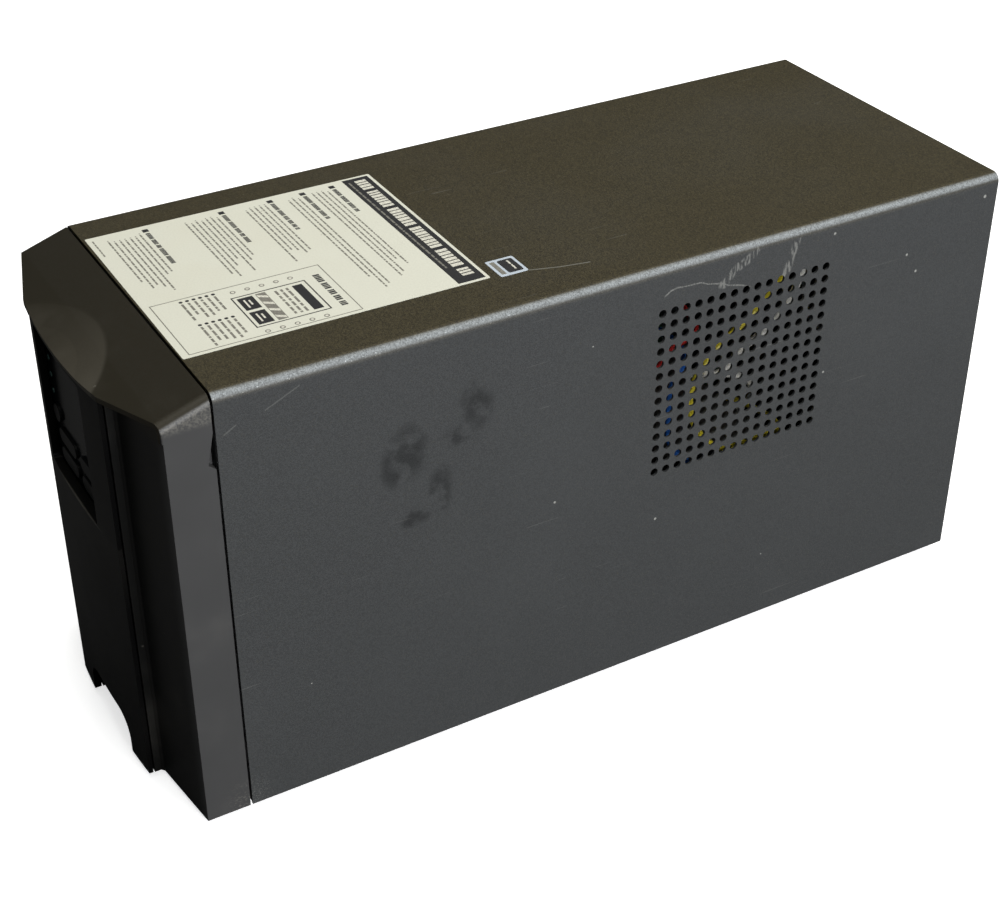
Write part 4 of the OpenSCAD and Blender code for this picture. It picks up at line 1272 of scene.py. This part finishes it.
@dataclass
class Studio:
    """Pale floor, soft lights and the camera."""

    floor_half: float = 2.6
    lens: float = 66.485
    azimuth: float = 60.1507
    elevation: float = 33.5209
    eye: tuple[float, float, float] = (0.667188, -0.387809, 0.593950)

    def build(self) -> None:
        """Sets up everything round the object."""
        self.floor()
        self.world()
        self.softbox("softbox_above", (0.1, 0.35, 1.7), (0.0, 0.05, 0.2), (1.9, 1.9), 24.5, (1.0, 0.98, 0.91))
        self.softbox("softbox_left", (-1.9, 0.7, 0.8), (0.0, 0.1, 0.1), (1.2, 1.0), 16.0, (1.0, 0.99, 0.97), False)
        self.softbox("softbox_side", (2.0, 0.35, 0.75), (0.0, 0.05, 0.1), (1.5, 1.2), 55.0, (0.97, 0.98, 1.0))
        self.camera()
        scene = bpy.context.scene
        scene.view_settings.view_transform = "Standard"

    def floor(self) -> None:
        """A large plain floor, dark to everything but the camera so that it lights nothing from below."""
        mesh = bmesh.new()
        h = self.floor_half
        corners = [mesh.verts.new(v) for v in ((-h, -h, 0), (h, -h, 0), (h, h, 0), (-h, h, 0))]
        mesh.faces.new(corners)
        data = bpy.data.meshes.new("floor")
        mesh.to_mesh(data)
        mesh.free()
        material = bpy.data.materials.new("floor_white")
        material.use_nodes = True
        tree = material.node_tree
        tree.nodes.clear()
        out = tree.nodes.new("ShaderNodeOutputMaterial")
        mix = tree.nodes.new("ShaderNodeMixShader")
        path = tree.nodes.new("ShaderNodeLightPath")
        shown = tree.nodes.new("ShaderNodeBsdfPrincipled")
        shown.inputs["Base Color"].default_value = (0.9, 0.9, 0.9, 1)
        shown.inputs["Roughness"].default_value = 1.0
        shown.inputs["Specular IOR Level"].default_value = 0.0
        shown.inputs["Emission Color"].default_value = (1, 1, 1, 1)
        shown.inputs["Emission Strength"].default_value = 0.68
        bounced = tree.nodes.new("ShaderNodeBsdfDiffuse")
        bounced.inputs["Color"].default_value = (0.07, 0.07, 0.07, 1)
        tree.links.new(path.outputs["Is Camera Ray"], mix.inputs[0])
        tree.links.new(bounced.outputs[0], mix.inputs[1])
        tree.links.new(shown.outputs[0], mix.inputs[2])
        tree.links.new(mix.outputs[0], out.inputs[0])
        data.materials.append(material)
        made = bpy.data.objects.new("floor", data)
        bpy.context.scene.collection.objects.link(made)

    def world(self) -> None:
        """White to the camera and a dim grey to everything else."""
        world = bpy.data.worlds.new("studio")
        bpy.context.scene.world = world
        world.use_nodes = True
        tree = world.node_tree
        tree.nodes.clear()
        out = tree.nodes.new("ShaderNodeOutputWorld")
        mix = tree.nodes.new("ShaderNodeMixShader")
        path = tree.nodes.new("ShaderNodeLightPath")
        for slot, tone, strength in ((1, (0.9, 0.95, 1.0, 1), 0.11), (2, (1, 1, 1, 1), 1.0)):
            back = tree.nodes.new("ShaderNodeBackground")
            back.inputs["Color"].default_value = tone
            back.inputs["Strength"].default_value = strength
            tree.links.new(back.outputs[0], mix.inputs[slot])
        tree.links.new(path.outputs["Is Camera Ray"], mix.inputs[0])
        tree.links.new(mix.outputs[0], out.inputs[0])

    def softbox(self, name: str, where: Sequence[float], target: Sequence[float], size: Spot,
                power: float, tone: Tone, mirrored: bool = True) -> None:
        """Adds a soft rectangular light.

        Args:
            name: Name of the light.
            where: Its place in metres.
            target: Where it points.
            size: Its two sides in metres.
            power: Its power in watts.
            tone: Its colour.
            mirrored: Whether it shows in reflections.
        """
        data = bpy.data.lights.new(name, "AREA")
        data.shape = "RECTANGLE"
        data.size, data.size_y = size
        data.energy = power
        data.color = tone
        made = bpy.data.objects.new(name, data)
        made.location = where
        made.visible_glossy = mirrored
        made.rotation_mode = "QUATERNION"
        made.rotation_quaternion = (Vector(target) - Vector(where)).to_track_quat("-Z", "Y")
        bpy.context.scene.collection.objects.link(made)

    def camera(self) -> None:
        """Places the camera."""
        a, e = math.radians(self.azimuth), math.radians(self.elevation)
        back = Vector((math.sin(a) * math.cos(e), -math.cos(a) * math.cos(e), math.sin(e)))
        right = Vector((math.cos(a), math.sin(a), 0))
        up = back.cross(right)
        data = bpy.data.cameras.new("camera")
        data.lens = self.lens
        data.sensor_width = 36
        data.clip_start, data.clip_end = 0.05, 60
        made = bpy.data.objects.new("camera", data)
        turn = Matrix((right, up, back)).transposed().to_4x4()
        made.matrix_world = Matrix.Translation(Vector(self.eye)) @ turn
        bpy.context.scene.collection.objects.link(made)
        bpy.context.scene.camera = made


# ---------------------------------------------------------------- the whole


def groups() -> list[SubAssembly]:
    """The sub-assemblies in building order.

    Returns:
        One object for each.
    """
    made = [
        SubAssembly(("outer_cover", "base_chassis", "battery_partition", "rubber_feet", "rear_screws")),
        SubAssembly(("front_bezel", "centre_fascia", "display_housing", "display_lens", "lcd_panel",
                     "display_board", "status_light_pipes", "display_plug", "display_socket",
                     "power_button", "up_key", "down_key", "escape_key", "enter_key")),
        SubAssembly(("battery_door", "door_thumb_screws")),
        BatteryPack(("battery_case_left", "battery_case_right", "battery_plates", "battery_terminals",
                     "battery_leads", "battery_plug", "battery_socket", "battery_pull_strap")),
        SubAssembly(("transformer_core", "transformer_coil", "transformer_bracket", "transformer_bolts",
                     "main_board", "board_standoffs", "heatsinks", "power_transistors", "relays",
                     "capacitors")),
        SubAssembly(("fan_frame", "fan_rotor", "fan_guard")),
        Rear(("rear_panel", "outlet_bank_upper", "outlet_bank_lower", "outlet_contacts", "power_inlet",
              "inlet_pins", "breaker_body", "breaker_reset_button", "slot_cover", "usb_port",
              "network_port")),
        Wiring(("wire_yellow", "wire_white", "wire_blue", "wire_red")),
        TopLabel(("top_label",)),
        Badge(("badge_label",)),
    ]
    named = {node for group in made for node in group.nodes}
    missing = sorted(set(frame["nodes"]) - named)
    if missing:
        log.warning("nodes without a group: %s", ", ".join(missing))
    return made


def main() -> None:
    """Builds everything in order."""
    logging.basicConfig(level=logging.INFO, format="%(message)s")
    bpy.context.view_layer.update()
    for group in groups():
        group.build()
    Studio().build()


if __name__ == "__main__":
    main()
